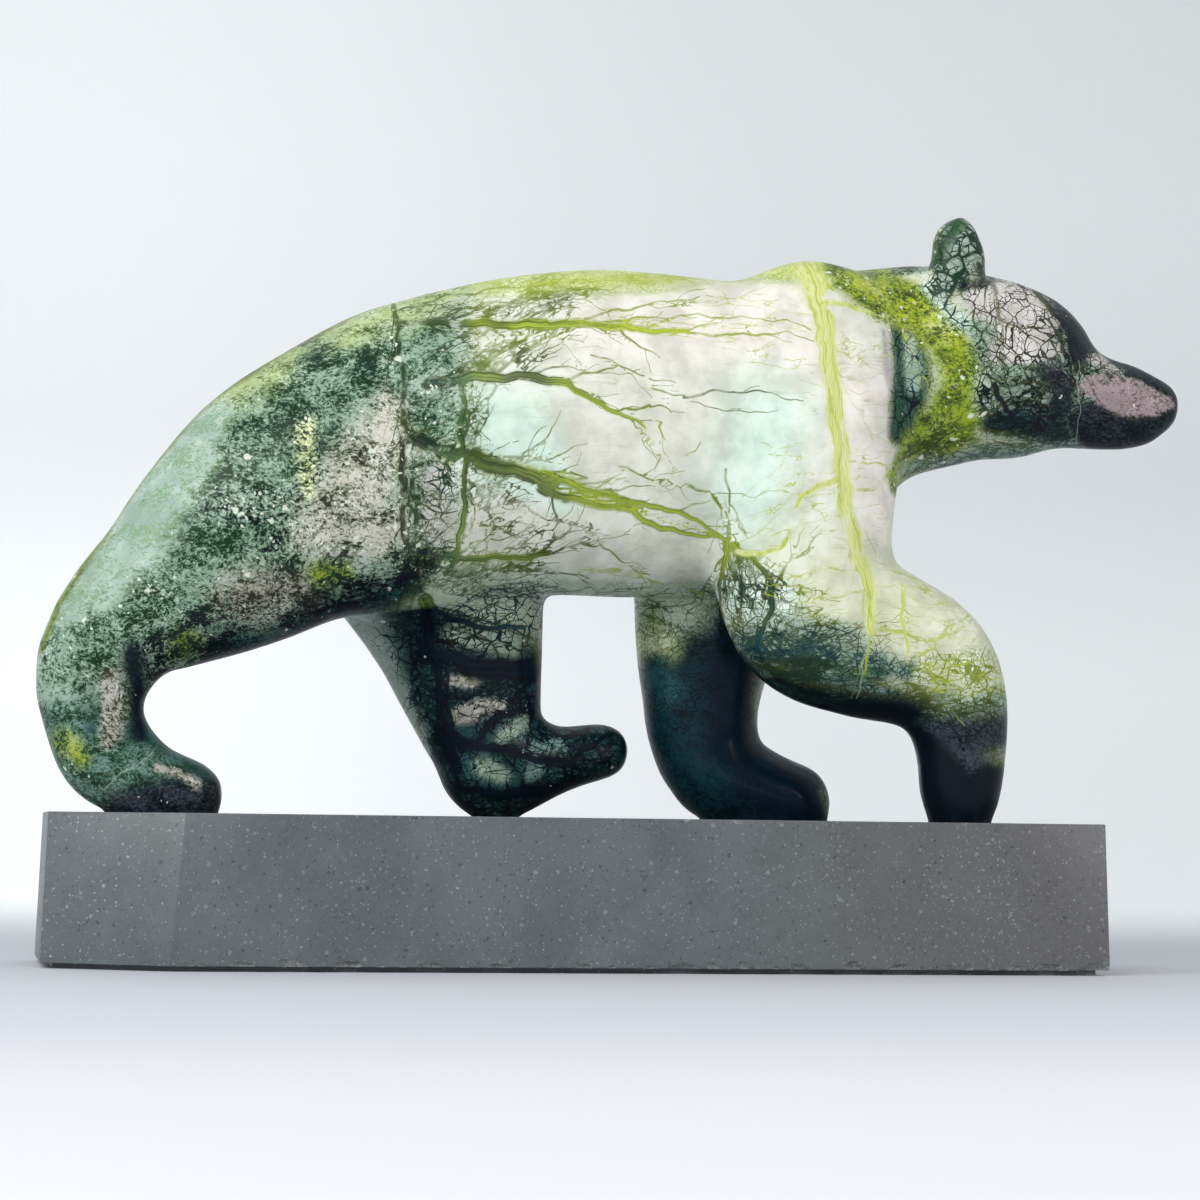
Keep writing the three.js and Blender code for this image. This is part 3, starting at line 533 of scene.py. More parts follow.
# Sprays of fine fibres: (kind, how many, half-width, sag, line they start on, line they end on)
veinSprays = [
    ("twig", 9, 0.9, -5, [(400, 330), (470, 318)], [(520, 292), (588, 284)]),
    ("twig", 8, 1.3, -6, [(480, 322), (545, 322)], [(545, 296), (600, 286)]),
    ("twig", 11, 1.3, -7, [(430, 380), (520, 372)], [(520, 336), (590, 324)]),
    ("twig", 6, 0.8, -4, [(404, 360), (440, 400)], [(470, 330), (500, 330)]),
    ("twig", 6, 0.8, 4, [(400, 400), (412, 440)], [(455, 384), (466, 440)]),
    ("twig", 8, 1.4, 6, [(455, 440), (470, 460)], [(470, 380), (500, 372)]),
    ("twig", 9, 0.8, 8, [(404, 450), (410, 550)], [(462, 470), (470, 560)]),
    ("twig", 7, 0.7, 8, [(466, 470), (470, 560)], [(530, 490), (548, 556)]),
    ("twig", 7, 0.9, -9, [(452, 556), (548, 558)], [(470, 500), (600, 520)]),
    ("twig", 9, 0.9, 9, [(404, 548), (412, 596)], [(560, 566), (600, 592)]),
    ("twig", 5, 0.7, 8, [(500, 580), (560, 600)], [(640, 585), (720, 600)]),
    ("lime", 5, 1.3, 4, [(500, 455), (560, 470)], [(600, 492), (690, 522)]),
    ("lime", 7, 0.8, 3, [(540, 486), (600, 500)], [(680, 512), (724, 536)]),
    ("lime", 8, 0.6, -2, [(560, 318), (600, 330)], [(700, 302), (800, 350)]),
    ("lime", 9, 0.7, -2, [(500, 285), (640, 272)], [(700, 282), (800, 276)]),
    ("lime", 8, 0.5, 3, [(700, 290), (720, 360)], [(806, 300), (818, 370)]),
    ("lime", 6, 0.6, 4, [(838, 320), (842, 380)], [(872, 340), (884, 400)]),
    ("lime", 4, 0.5, 4, [(850, 440), (856, 500)], [(884, 440), (890, 500)]),
    ("lime", 6, 0.6, 6, [(760, 440), (770, 500)], [(836, 450), (842, 500)]),
    ("lime", 6, 0.9, -8, [(732, 500), (734, 552)], [(790, 470), (838, 520)]),
    ("twig", 10, 1.3, 6, [(724, 536), (742, 546)], [(722, 640), (800, 640)]),
    ("twig", 7, 1.1, -5, [(722, 560), (730, 600)], [(770, 600), (800, 640)]),
    ("twig", 14, 1.2, 7, [(732, 620), (760, 664)], [(862, 634), (900, 668)]),
    ("twig", 18, 1.5, 8, [(735, 646), (780, 690)], [(880, 650), (930, 700)]),
    ("lime", 6, 0.6, 7, [(745, 575), (770, 620)], [(856, 574), (866, 624)]),
    ("lime", 5, 0.7, 6, [(876, 580), (880, 640)], [(960, 610), (985, 640)]),
    ("lime", 6, 1.3, 5, [(905, 650), (920, 690)], [(976, 640), (990, 690)]),
    ("twig", 12, 1.3, 4, [(900, 680), (915, 716)], [(985, 690), (1000, 716)]),
    ("twig", 14, 1.0, 4, [(985, 412), (990, 446)], [(1070, 420), (1076, 446)]),
    ("lime", 10, 0.9, 6, [(880, 290), (910, 300)], [(950, 430), (985, 370)]),
    ("twig", 12, 1.1, 6, [(896, 470), (905, 440)], [(960, 400), (990, 440)]),
    ("twig", 10, 1.6, 5, [(416, 600), (428, 720)], [(520, 620), (600, 740)]),
    ("twig", 8, 1.4, -6, [(440, 600), (470, 780)], [(500, 640), (590, 790)]),
    ("twig", 10, 1.0, 6, [(640, 590), (650, 650)], [(700, 600), (700, 660)]),
]

veinHabit = {
    "seed": 21,
    "step": 1.6,
    "wander": 1.25,
    "twigTurn": (12, 36),
    "twigReach": (18, 60),
    "twigThin": (0.3, 0.55),
    "thinnest": 0.3,
    "generations": 3,
    "twigShare": 0.4,
    "thickestTwig": 1.7,
    "stemFrom": 2.3,
}

# How the pattern is laid on the surface, in units of the side view
coatHabit = {
    "tear": 7.0,
    "fray": 3.2,
    "depthFade": 0.003,
    "middle": -0.024,
    "farDrift": 34.0,
    "meshSpacing": 3.85,
    "noiseSeed": 5,
}


def linearTint(name):
    values = np.array(stoneTints[name]) / 255
    return np.where(values <= 0.04045, values / 12.92, ((values + 0.055) / 1.055) ** 2.4)


def roughenRoute(route, dice):
    corners = np.array(route, float)
    spans = np.hypot(*np.diff(corners, axis=0).T)
    places = np.concatenate([[0], np.cumsum(spans)])
    count = max(4, int(places[-1] / veinHabit["step"]))
    along = np.linspace(0, places[-1], count)
    path = np.stack([np.interp(along, places, corners[:, i]) for i in (0, 1)], axis=1)
    heading = np.gradient(path, axis=0)
    heading /= np.maximum(np.hypot(*heading.T), 1e-6)[:, None]
    sway = np.zeros(count)
    for wave, share in ((52, 1.0), (21, 0.5), (9, 0.16)):
        sway += share * np.sin(along * 2 * math.pi / wave + dice.uniform(0, 6.28))
    sway *= veinHabit["wander"] * np.clip(along / 10, 0, 1)
    path[:, 0] -= heading[:, 1] * sway
    path[:, 1] += heading[:, 0] * sway
    return path, heading, along


def growVein(kept, kind, first, last, twigs, route, dice, generation=0):
    path, heading, along = roughenRoute(route, dice)
    widths = first + (last - first) * along / along[-1]
    lime = kind.startswith("lime")
    if kind == "pale":
        family = "pale"
    elif max(first, last) >= veinHabit["stemFrom"]:
        family = "limeBand" if lime else "stem"
    else:
        family = "limeTwig" if lime else "twig"
    kept.setdefault(family, []).append((path, widths))
    if generation >= veinHabit["generations"]:
        return
    expected = twigs * veinHabit["twigShare"] * along[-1] / 100
    for n in range(int(expected + dice.random())):
        at = int((0.04 + 0.94 * dice.random()) * (len(path) - 1))
        side = 1 if dice.random() < 0.5 else -1
        turn = side * math.radians(dice.uniform(*veinHabit["twigTurn"]))
        ahead = (
            heading[at][0] * math.cos(turn) - heading[at][1] * math.sin(turn),
            heading[at][0] * math.sin(turn) + heading[at][1] * math.cos(turn),
        )
        thin = max(veinHabit["thinnest"], widths[at] * dice.uniform(*veinHabit["twigThin"]))
        thin = min(thin, veinHabit["thickestTwig"])
        reach = dice.uniform(*veinHabit["twigReach"]) * (0.72 ** generation) * (0.7 + 0.12 * widths[at])
        bend = side * dice.uniform(-0.5, 0.2)
        start = path[at] + np.array(ahead) * widths[at] * 0.5
        middle = start + np.array(ahead) * reach * 0.5
        end = middle + np.array((ahead[0] - bend * ahead[1], ahead[1] + bend * ahead[0])) * reach * 0.5
        growVein(
            kept,
            kind,
            thin,
            veinHabit["thinnest"],
            twigs * 0.5,
            [start, middle, end],
            dice,
            generation + 1,
        )


def growSpray(kept, kind, count, width, sag, starts, ends, dice):
    for n in range(count):
        share = (n + dice.random()) / count
        shift = min(1, max(0, share + dice.uniform(-0.3, 0.3)))
        (u0, v0), (u1, v1) = (
            [a + (b - a) * part for a, b in zip(*line)]
            for line, part in ((starts, share), (ends, shift))
        )
        reach = dice.uniform(0.45, 1)
        lead = dice.uniform(0, 0.3) * reach
        u0, v0, u1, v1 = (
            u0 + (u1 - u0) * lead,
            v0 + (v1 - v0) * lead,
            u0 + (u1 - u0) * reach,
            v0 + (v1 - v0) * reach,
        )
        bow = sag * dice.uniform(0.3, 1.4)
        route = [(u0, v0), ((u0 + u1) / 2, (v0 + v1) / 2 + bow), (u1, v1)]
        growVein(kept, kind, width * dice.uniform(0.6, 1.3), veinHabit["thinnest"], 6, route, dice, 1)


def nearestVein(strands, u, v):
    paths = [path for path, widths in strands]
    spots = np.concatenate(paths)
    widths = np.concatenate([width for path, width in strands])
    before = np.concatenate([np.concatenate([path[:1], path[:-1]]) for path in paths])
    after = np.concatenate([np.concatenate([path[1:], path[-1:]]) for path in paths])
    tree = kdtree.KDTree(len(spots))
    for i, (x, y) in enumerate(spots):
        tree.insert((x, y, 0), i)
    tree.balance()
    found = np.array([tree.find((x, y, 0))[1] for x, y in zip(u, v)])
    here = np.stack([u, v], axis=1)
    best = here - spots[found]
    for other in (before[found], after[found]):
        run = other - spots[found]
        size = np.maximum((run * run).sum(1), 1e-9)
        share = np.clip(((here - spots[found]) * run).sum(1) / size, 0, 1)
        offset = here - spots[found] - run * share[:, None]
        closer = np.hypot(*offset.T) < np.hypot(*best.T)
        best[closer] = offset[closer]
    away = np.hypot(*best.T)
    width = widths[found]
    guard = (away - coatHabit["meshSpacing"]) / width
    heading = after[found] - before[found]
    heading /= np.maximum(np.hypot(*heading.T), 1e-6)[:, None]
    across = heading[:, 0] * best[:, 1] - heading[:, 1] * best[:, 0]
    return np.column_stack([best, across]) / width[:, None], guard


def brushWeight(u, v, route, soft):
    # 1 on the route, fading to 0 beyond its radius
    nearest = np.full(len(u), 1e9)
    stops = route if len(route) > 1 else route * 2
    for (u0, v0, r0), (u1, v1, r1) in zip(stops[:-1], stops[1:]):
        runU, runV = u1 - u0, v1 - v0
        size = max(runU * runU + runV * runV, 1e-6)
        share = np.clip(((u - u0) * runU + (v - v0) * runV) / size, 0, 1)
        away = np.hypot(u - u0 - runU * share, v - v0 - runV * share)
        nearest = np.minimum(nearest, away / (r0 + (r1 - r0) * share))
    fade = np.clip((1 + soft - nearest) / (2 * soft), 0, 1)
    return fade * fade * (3 - 2 * fade)


def setSpread(mesh, name, kind, values):
    field = mesh.attributes.new(name, kind, "POINT")
    key = "vector" if kind == "FLOAT_VECTOR" else "value"
    field.data.foreach_set(key, np.ascontiguousarray(values, np.float32).ravel())


def layPattern(piece):
    mesh = piece.data
    count = len(mesh.vertices)
    spots = np.zeros(count * 3, np.float32)
    mesh.vertices.foreach_get("co", spots)
    spots = spots.reshape(-1, 3).astype(float)
    u, v = onSideView(spots)

    noise.seed_set(coatHabit["noiseSeed"])
    coarse = np.array([noise.noise_vector(Vector(p) * 26) for p in spots])
    fine = np.array([noise.noise_vector(Vector(p) * 90) for p in spots])
    drift = np.array([noise.noise_vector(Vector(p) * 7) for p in spots])
    behind = np.clip(spots[:, 1] / 0.05, 0, 1) * (spots[:, 2] > 0.2)
    u = u + drift[:, 0] * coatHabit["farDrift"] * behind
    v = v + drift[:, 2] * coatHabit["farDrift"] * behind
    tearU = coatHabit["tear"] * coarse[:, 0] + coatHabit["fray"] * fine[:, 0]
    tearV = coatHabit["tear"] * coarse[:, 2] + coatHabit["fray"] * fine[:, 2]
    near = np.clip(0.5 - (spots[:, 1] - coatHabit["middle"]) / coatHabit["depthFade"] / 2, 0, 1)

    spread = {
        "ground": np.tile(linearTint("bone"), (count, 1)),
        "line": np.tile(linearTint("olive"), (count, 1)),
        "moss": np.zeros(count),
        "web": np.full(count, 0.05),
        "specks": np.zeros(count),
        "hairs": np.full(count, 0.25),
    }
    for coat in stoneCoats:
        rag = coat.get("rag", 1)
        weight = brushWeight(u + rag * tearU, v + rag * tearV, coat["route"], coat.get("soft", 0.6))
        side = coat.get("side")
        if side:
            weight = weight * (near if side == "near" else 1 - near)
        for key in spread:
            if key not in coat:
                continue
            if key in ("ground", "line"):
                share = weight[:, None]
                spread[key] = spread[key] * (1 - share) + linearTint(coat[key]) * share
            else:
                spread[key] = spread[key] * (1 - weight) + coat[key] * weight
    for key in ("ground", "line"):
        setSpread(mesh, key, "FLOAT_VECTOR", spread[key])
    for key in ("moss", "web", "specks", "hairs"):
        setSpread(mesh, key, "FLOAT", spread[key])

    dice = random.Random(veinHabit["seed"])
    kept = {}
    for kind, first, last, twigs, route in stoneVeins:
        growVein(kept, kind, first, last, twigs, route, dice)
    for kind, number, width, sag, starts, ends in veinSprays:
        growSpray(kept, kind, number, width, sag, starts, ends, dice)
    # Every second fine fibre is kept apart, so that crossing fibres stay whole
    for family in ("twig", "limeTwig"):
        strands = kept[family]
        kept[family] = strands[::2]
        kept[family + "Across"] = strands[1::2]
    waverU = u + 1.2 * fine[:, 1]
    waverV = v + 1.2 * fine[:, 0]
    for family in sorted(kept):
        offset, guard = nearestVein(kept[family], waverU, waverV)
        setSpread(mesh, family + "Offset", "FLOAT_VECTOR", offset)
        setSpread(mesh, family + "Guard", "FLOAT", guard)
        print("veins:", family, sum(len(path) for path, widths in kept[family]))
    print("pattern laid on", count, "points")


layPattern(bear)


class Finish:
    def __init__(self, name):
        self.material = bpy.data.materials.new(name)
        self.material.use_nodes = True
        self.tree = self.material.node_tree
        self.shader = self.tree.nodes["Principled BSDF"]

    def put(self, socket, value):
        if isinstance(value, bpy.types.NodeSocket):
            self.tree.links.new(value, socket)
        elif value is not None:
            socket.default_value = value

    def add(self, kind, inputs=(), **settings):
        node = self.tree.nodes.new(kind)
        for key, value in settings.items():
            setattr(node, key, value)
        for key, value in dict(inputs).items():
            self.put(node.inputs[key], value)
        return node

    def spot(self):
        return self.add("ShaderNodeTexCoord").outputs["Object"]

    def spread(self, name, output):
        node = self.add("ShaderNodeAttribute", attribute_type="GEOMETRY", attribute_name=name)
        return node.outputs[output]

    def maths(self, operation, a, b=None, c=None):
        node = self.add("ShaderNodeMath", operation=operation)
        for socket, value in zip(node.inputs, (a, b, c)):
            self.put(socket, value)
        return node.outputs[0]

    def vectors(self, operation, a, b=None, scale=None):
        node = self.add("ShaderNodeVectorMath", operation=operation)
        self.put(node.inputs[0], a)
        self.put(node.inputs[1], b)
        if scale is not None:
            self.put(node.inputs["Scale"], scale)
        return node.outputs["Value" if operation == "LENGTH" else "Vector"]

    def ramp(self, value, low, high, outLow=0.0, outHigh=1.0):
        node = self.add("ShaderNodeMapRange", interpolation_type="SMOOTHSTEP")
        for key, given in (
            ("Value", value),
            ("From Min", low),
            ("From Max", high),
            ("To Min", outLow),
            ("To Max", outHigh),
        ):
            self.put(node.inputs[key], given)
        return node.outputs["Result"]

    def mix(self, share, a, b, blend="MIX"):
        node = self.add("ShaderNodeMix", data_type="RGBA", blend_type=blend)
        self.put(node.inputs["Factor"], share)
        self.put(node.inputs["A"] if False else node.inputs[6], a)
        self.put(node.inputs[7], b)
        return node.outputs[2]

    def cloud(self, spot, scale, detail=3.0, rough=0.5, bend=0.0, output="Fac"):
        inputs = {
            "Vector": spot,
            "Scale": scale,
            "Detail": detail,
            "Roughness": rough,
            "Distortion": bend,
        }
        return self.add("ShaderNodeTexNoise", inputs).outputs[output]

    def cells(self, spot, scale, feature, output="Distance", random=1.0):
        inputs = {"Vector": spot, "Scale": scale, "Randomness": random}
        return self.add("ShaderNodeTexVoronoi", inputs, feature=feature).outputs[output]

    def stretch(self, spot, scale, turn=(0, 0, 0)):
        inputs = {"Vector": spot, "Scale": scale, "Rotation": turn}
        return self.add("ShaderNodeMapping", inputs).outputs["Vector"]


# The polished green stone
stoneLook = {
    "bigWarp": 0.016,
    "smallWarp": 0.0035,
    "webScale": 92.0,
    "fineWebScale": 230.0,
    "mossScale": 430.0,
    "speckScale": 300.0,
    "blotScale": 150.0,
    "roughness": 0.34,
    "specular": 0.11,
    "coat": 0.1,
    "coatRoughness": 0.12,
}


def tint(name, share=1.0):
    return tuple(float(x) * share for x in linearTint(name)) + (1.0,)


def polishedStone():
    look = stoneLook
    f = Finish("veinedGreenStone")
    spot = f.spot()
    sway = f.vectors("SUBTRACT", f.cloud(spot, 20, 3, output="Color"), (0.5, 0.5, 0.5))
    warped = f.vectors("ADD", spot, f.vectors("SCALE", sway, scale=look["bigWarp"]))
    shiver = f.vectors("SUBTRACT", f.cloud(spot, 130, 2, output="Color"), (0.5, 0.5, 0.5))
    warped = f.vectors("ADD", warped, f.vectors("SCALE", shiver, scale=look["smallWarp"]))

    moss = f.spread("moss", "Fac")
    web = f.spread("web", "Fac")
    specks = f.spread("specks", "Fac")
    hairs = f.spread("hairs", "Fac")
    line = f.spread("line", "Vector")
    ground = f.spread("ground", "Vector")
    patchy = f.cloud(spot, 34, 2)
    grainy = f.cloud(spot, 260, 2, 0.6)
    blotch = f.cloud(spot, 66, 3, 0.6)

    # Milky clouds in the pale stone
    milk = f.cloud(warped, 44, 4, 0.62)
    paleness = f.add("ShaderNodeSeparateXYZ", {"Vector": ground}).outputs["Y"]
    paleness = f.ramp(paleness, 0.25, 0.6)
    body = f.mix(f.ramp(milk, 0.36, 0.56, 0.42, 0.0), ground, (0.58, 0.6, 0.56, 1), "MULTIPLY")
    body = f.mix(f.maths("MULTIPLY", f.ramp(milk, 0.5, 0.68, 0.0, 0.35), paleness), body, (0.92, 0.95, 0.88, 1))

    # Fine wavy hair-lines lying nearly level
    level = f.stretch(warped, (14, 14, 120))
    strand = f.maths("ABSOLUTE", f.maths("SUBTRACT", f.cloud(level, 1, 2, 0.5, 0.4), 0.5))
    broken = f.ramp(patchy, 0.46, 0.6)
    hairMask = f.maths("MULTIPLY", f.ramp(strand, 0.004, 0.02, 1.0, 0.0), broken)
    hairMask = f.maths("MULTIPLY", hairMask, f.maths("MULTIPLY", hairs, 0.75))
    body = f.mix(hairMask, body, f.vectors("SCALE", line, scale=1.15))

    # The web of dark lines round pale cells
    thickness = f.ramp(patchy, 0.3, 0.7, 0.35, 1.5)
    for scale, share, spotUsed, gate in (
        (look["webScale"], 0.24, warped, None),
        (look["fineWebScale"], 0.3, warped, None),
        (1.0, 0.3, f.stretch(warped, (80, 120, 300)), hairs),
    ):
        edge = f.cells(spotUsed, scale, "DISTANCE_TO_EDGE")
        width = f.maths("MULTIPLY", f.maths("MULTIPLY", f.maths("POWER", web, 1.35), share), thickness)
        if gate is not None:
            width = f.maths("MULTIPLY", width, gate)
        if scale == look["fineWebScale"]:
            width = f.maths("MULTIPLY", width, f.ramp(milk, 0.4, 0.6, 0.2, 1.3))
        inner = f.maths("MULTIPLY", width, 0.45)
        mask = f.ramp(edge, inner, f.maths("ADD", width, 0.004), 1.0, 0.0)
        mask = f.maths("MULTIPLY", mask, f.ramp(web, 0.04, 0.16))
        shade = f.maths("MULTIPLY", f.ramp(edge, 0.0, 0.3, 0.5, 0.0), f.ramp(web, 0.2, 0.7))
        body = f.mix(shade, body, f.mix(0.4, body, line))
        if scale == look["webScale"]:
            hue = f.cells(spotUsed, scale, "F1", "Color")
            single = f.add("ShaderNodeSeparateColor", {"Color": hue}).outputs[0]
            tone = f.maths("MULTIPLY", f.ramp(single, 0, 1, 0.5, 0.0), f.ramp(web, 0.2, 0.6))
            body = f.mix(tone, body, f.mix(0.45, body, line))
        body = f.mix(mask, body, line)

    # Leafy mottling
    leafSpot = f.stretch(warped, (1, 1, 1.35), (0, 0.4, 0))
    leaves = f.cloud(leafSpot, look["mossScale"], 4, 0.72, 0.6)
    drifts = f.cloud(leafSpot, 62, 3, 0.62)
    thick = f.maths("ADD", leaves, f.maths("MULTIPLY", f.maths("SUBTRACT", drifts, 0.5), 0.55))
    limit = f.maths("SUBTRACT", 0.655, f.maths("MULTIPLY", moss, 0.245))
    grown = f.maths("MULTIPLY", f.maths("SUBTRACT", thick, limit), f.ramp(moss, 0.02, 0.1))
    bare = f.ramp(moss, 0.02, 0.1)
    fresh = f.mix(0.4, f.mix(1.0, ground, (0.5, 0.66, 0.44, 1), "MULTIPLY"), line)
    body = f.mix(f.maths("MULTIPLY", f.ramp(grown, -0.12, -0.03, 0.0, 0.85), bare), body, fresh)
    body = f.mix(f.maths("MULTIPLY", f.ramp(grown, -0.02, 0.04), bare), body, f.vectors("SCALE", line, scale=1.5))
    body = f.mix(f.maths("MULTIPLY", f.ramp(grown, 0.03, 0.11, 0.0, 0.8), bare), body, f.vectors("SCALE", line, scale=0.5))
    glints = f.cloud(leafSpot, 620, 2, 0.6)
    lit = f.maths("MULTIPLY", f.ramp(glints, 0.6, 0.68, 0.0, 0.75), f.ramp(moss, 0.2, 0.4))
    lit = f.maths("MULTIPLY", lit, f.ramp(drifts, 0.56, 0.44))
    body = f.mix(lit, body, f.vectors("SCALE", ground, scale=1.1))

    # Grown veins
    ripple = f.maths("MULTIPLY", f.maths("SUBTRACT", f.cloud(spot, 150, 3, 0.55), 0.5), 0.8)

    def reachOf(family):
        offset = f.spread(family + "Offset", "Vector")
        flat = f.vectors("LENGTH", f.vectors("MULTIPLY", offset, (1, 1, 0)))
        reach = f.maths("MAXIMUM", flat, f.spread(family + "Guard", "Fac"))
        return f.maths("ADD", reach, ripple)

    def fibresOf(family, tightness):
        across = f.add("ShaderNodeSeparateXYZ", {"Vector": f.spread(family + "Offset", "Vector")}).outputs["Z"]
        slow = f.vectors("SCALE", spot, scale=22)
        lane = f.add("ShaderNodeCombineXYZ", {"Y": f.maths("MULTIPLY", across, tightness)}).outputs[0]
        return f.cloud(f.vectors("ADD", slow, lane), 1, 3, 0.6)

    stem = reachOf("stem")
    limeBand = reachOf("limeBand")
    halo = f.mix(f.maths("MULTIPLY", paleness, 0.7), line, tint("limeLeaf"))
    strands = fibresOf("stem", 2.6)
    torn = f.maths("ADD", stem, f.maths("MULTIPLY", f.maths("SUBTRACT", strands, 0.5), 1.5))
    patch = f.ramp(f.cloud(spot, 95, 3, 0.65), 0.4, 0.56, 0.25, 0.95)
    patch = f.maths("MAXIMUM", patch, f.ramp(moss, 0.2, 0.35, 0.95, 0.0))
    body = f.mix(f.maths("MULTIPLY", f.ramp(stem, 0.9, 1.9, 0.35, 0.0), patch), body, halo)
    strength = f.ramp(blotch, 0.38, 0.58, 0.45, 1.0)
    for family in ("twig", "twigAcross"):
        twig = reachOf(family)
        body = f.mix(f.ramp(twig, 0.8, 2.6, 0.18, 0.0), body, halo)
        mask = f.maths("MULTIPLY", f.ramp(twig, 0.5, 1.5, 0.9, 0.0), strength)
        body = f.mix(mask, body, f.vectors("SCALE", line, scale=0.8))
    core = f.mix(f.ramp(strands, 0.36, 0.62), f.vectors("SCALE", line, scale=0.55), f.vectors("SCALE", line, scale=1.9))
    body = f.mix(f.maths("MULTIPLY", f.ramp(torn, 0.75, 1.25, 1.0, 0.0), patch), body, core)
    strands = fibresOf("limeBand", 4.5)
    bandTone = f.mix(f.ramp(strands, 0.3, 0.6), tint("lime", 0.92), tint("limePale"))
    streak = f.cloud(f.stretch(warped, (240, 160, 36)), 1, 3, 0.6)
    bandTone = f.mix(f.ramp(streak, 0.52, 0.68, 0.0, 0.6), bandTone, tint("limeLeaf"))
    bandTone = f.mix(f.ramp(streak, 0.46, 0.34, 0.0, 0.5), bandTone, tint("bone"))
    body = f.mix(f.ramp(limeBand, 0.9, 1.8, 0.3, 0.0), body, tint("limePale"))
    faint = f.ramp(blotch, 0.4, 0.6, 0.15, 0.75)
    limeTone = f.mix(f.ramp(grainy, 0.4, 0.6), tint("limeLeaf"), tint("lime"))
    for family in ("limeTwig", "limeTwigAcross"):
        mask = f.maths("MULTIPLY", f.ramp(reachOf(family), 0.4, 1.6), -1)
        body = f.mix(f.maths("MULTIPLY", f.maths("ADD", mask, 1), faint), body, limeTone)
    bandMask = f.maths("MULTIPLY", f.ramp(limeBand, 0.7, 1.2, 0.94, 0.0), f.ramp(strands, 0.6, 0.74, 1.0, 0.5))
    body = f.mix(bandMask, body, bandTone)
    body = f.mix(f.ramp(reachOf("pale"), 0.6, 1.5, 0.34, 0.0), body, tint("mist"))

    # Pale grains
    jolt = f.vectors("SUBTRACT", f.cloud(spot, 420, 1, 0.7, output="Color"), (0.5, 0.5, 0.5))
    ragged = f.vectors("ADD", warped, f.vectors("SCALE", jolt, scale=0.0034))
    for scale, size, share in ((look["speckScale"], 0.36, 0.4), (look["blotScale"], 0.36, 0.24)):
        cell = f.add("ShaderNodeTexVoronoi", {"Vector": ragged, "Scale": scale})
        dot = cell.outputs["Distance"]
        hue = f.add("ShaderNodeSeparateColor", {"Color": cell.outputs["Color"]})
        chosen = f.maths("LESS_THAN", hue.outputs[1], f.maths("MULTIPLY", specks, share))
        broad = f.ramp(hue.outputs[2], 0, 1, size * 0.5, size)
        mask = f.maths("MULTIPLY", f.ramp(dot, f.maths("MULTIPLY", broad, 0.6), broad, 1.0, 0.0), chosen)
        body = f.mix(f.maths("MULTIPLY", mask, 0.8), body, (0.74, 0.8, 0.66, 1))

    f.put(f.shader.inputs["Base Color"], body)
    gloss = f.ramp(blotch, 0.3, 0.7, look["roughness"] - 0.05, look["roughness"] + 0.1)
    f.put(f.shader.inputs["Roughness"], gloss)
    f.shader.inputs["Specular IOR Level"].default_value = look["specular"]
    f.shader.inputs["Coat Weight"].default_value = look["coat"]
    f.shader.inputs["Coat Roughness"].default_value = look["coatRoughness"]
    bump = f.add("ShaderNodeBump", {"Strength": 0.05, "Distance": 0.0004, "Height": f.cloud(spot, 600, 1)})
    f.put(f.shader.inputs["Normal"], bump.outputs["Normal"])
    print("stone finish:", len(f.tree.nodes), "nodes")
    return f.material



# The plinth's block
plinthShape = {
    "length": 0.6,
    "depth": 0.156,
    "top": 0.086,
    "bottom": 0.003,
    "endTaper": 0.003,
    "cornerAlong": 0.068,
    "cornerBack": 0.042,
    "cornerLean": 0.004,
    "arris": 0.0006,
    "footInset": 0.006,
    "chipSeed": 11,
    "lowChips": 64,
    "lowChipSize": (0.0016, 0.0046),
    "topChips": 22,
    "topChipSize": (0.0006, 0.0019),
    # Larger breaks on the lower front edge: how far along, and how big
    "breaks": [
        (0.052, 0.0062),
        (0.118, 0.0056),
        (-0.088, 0.0046),
        (-0.052, 0.004),
        (0.262, 0.0058),
        (0.288, 0.0072),
        (0.203, 0.0045),
    ],
}


def addChip(place, size, dice):
    bpy.ops.mesh.primitive_ico_sphere_add(subdivisions=2, radius=1, location=place)
    chip = bpy.context.active_object
    stretch = (size * dice.uniform(1.2, 2.6), size * dice.uniform(0.7, 1.1), size)
    turn = dice.uniform(-0.5, 0.5)
    for vertex in chip.data.vertices:
        bump = 1 + 0.3 * (dice.random() - 0.5)
        x, y, z = (vertex.co[i] * stretch[i] * bump for i in range(3))
        vertex.co = (
            x * math.cos(turn) - z * math.sin(turn),
            y,
            x * math.sin(turn) + z * math.cos(turn),
        )
    return chip


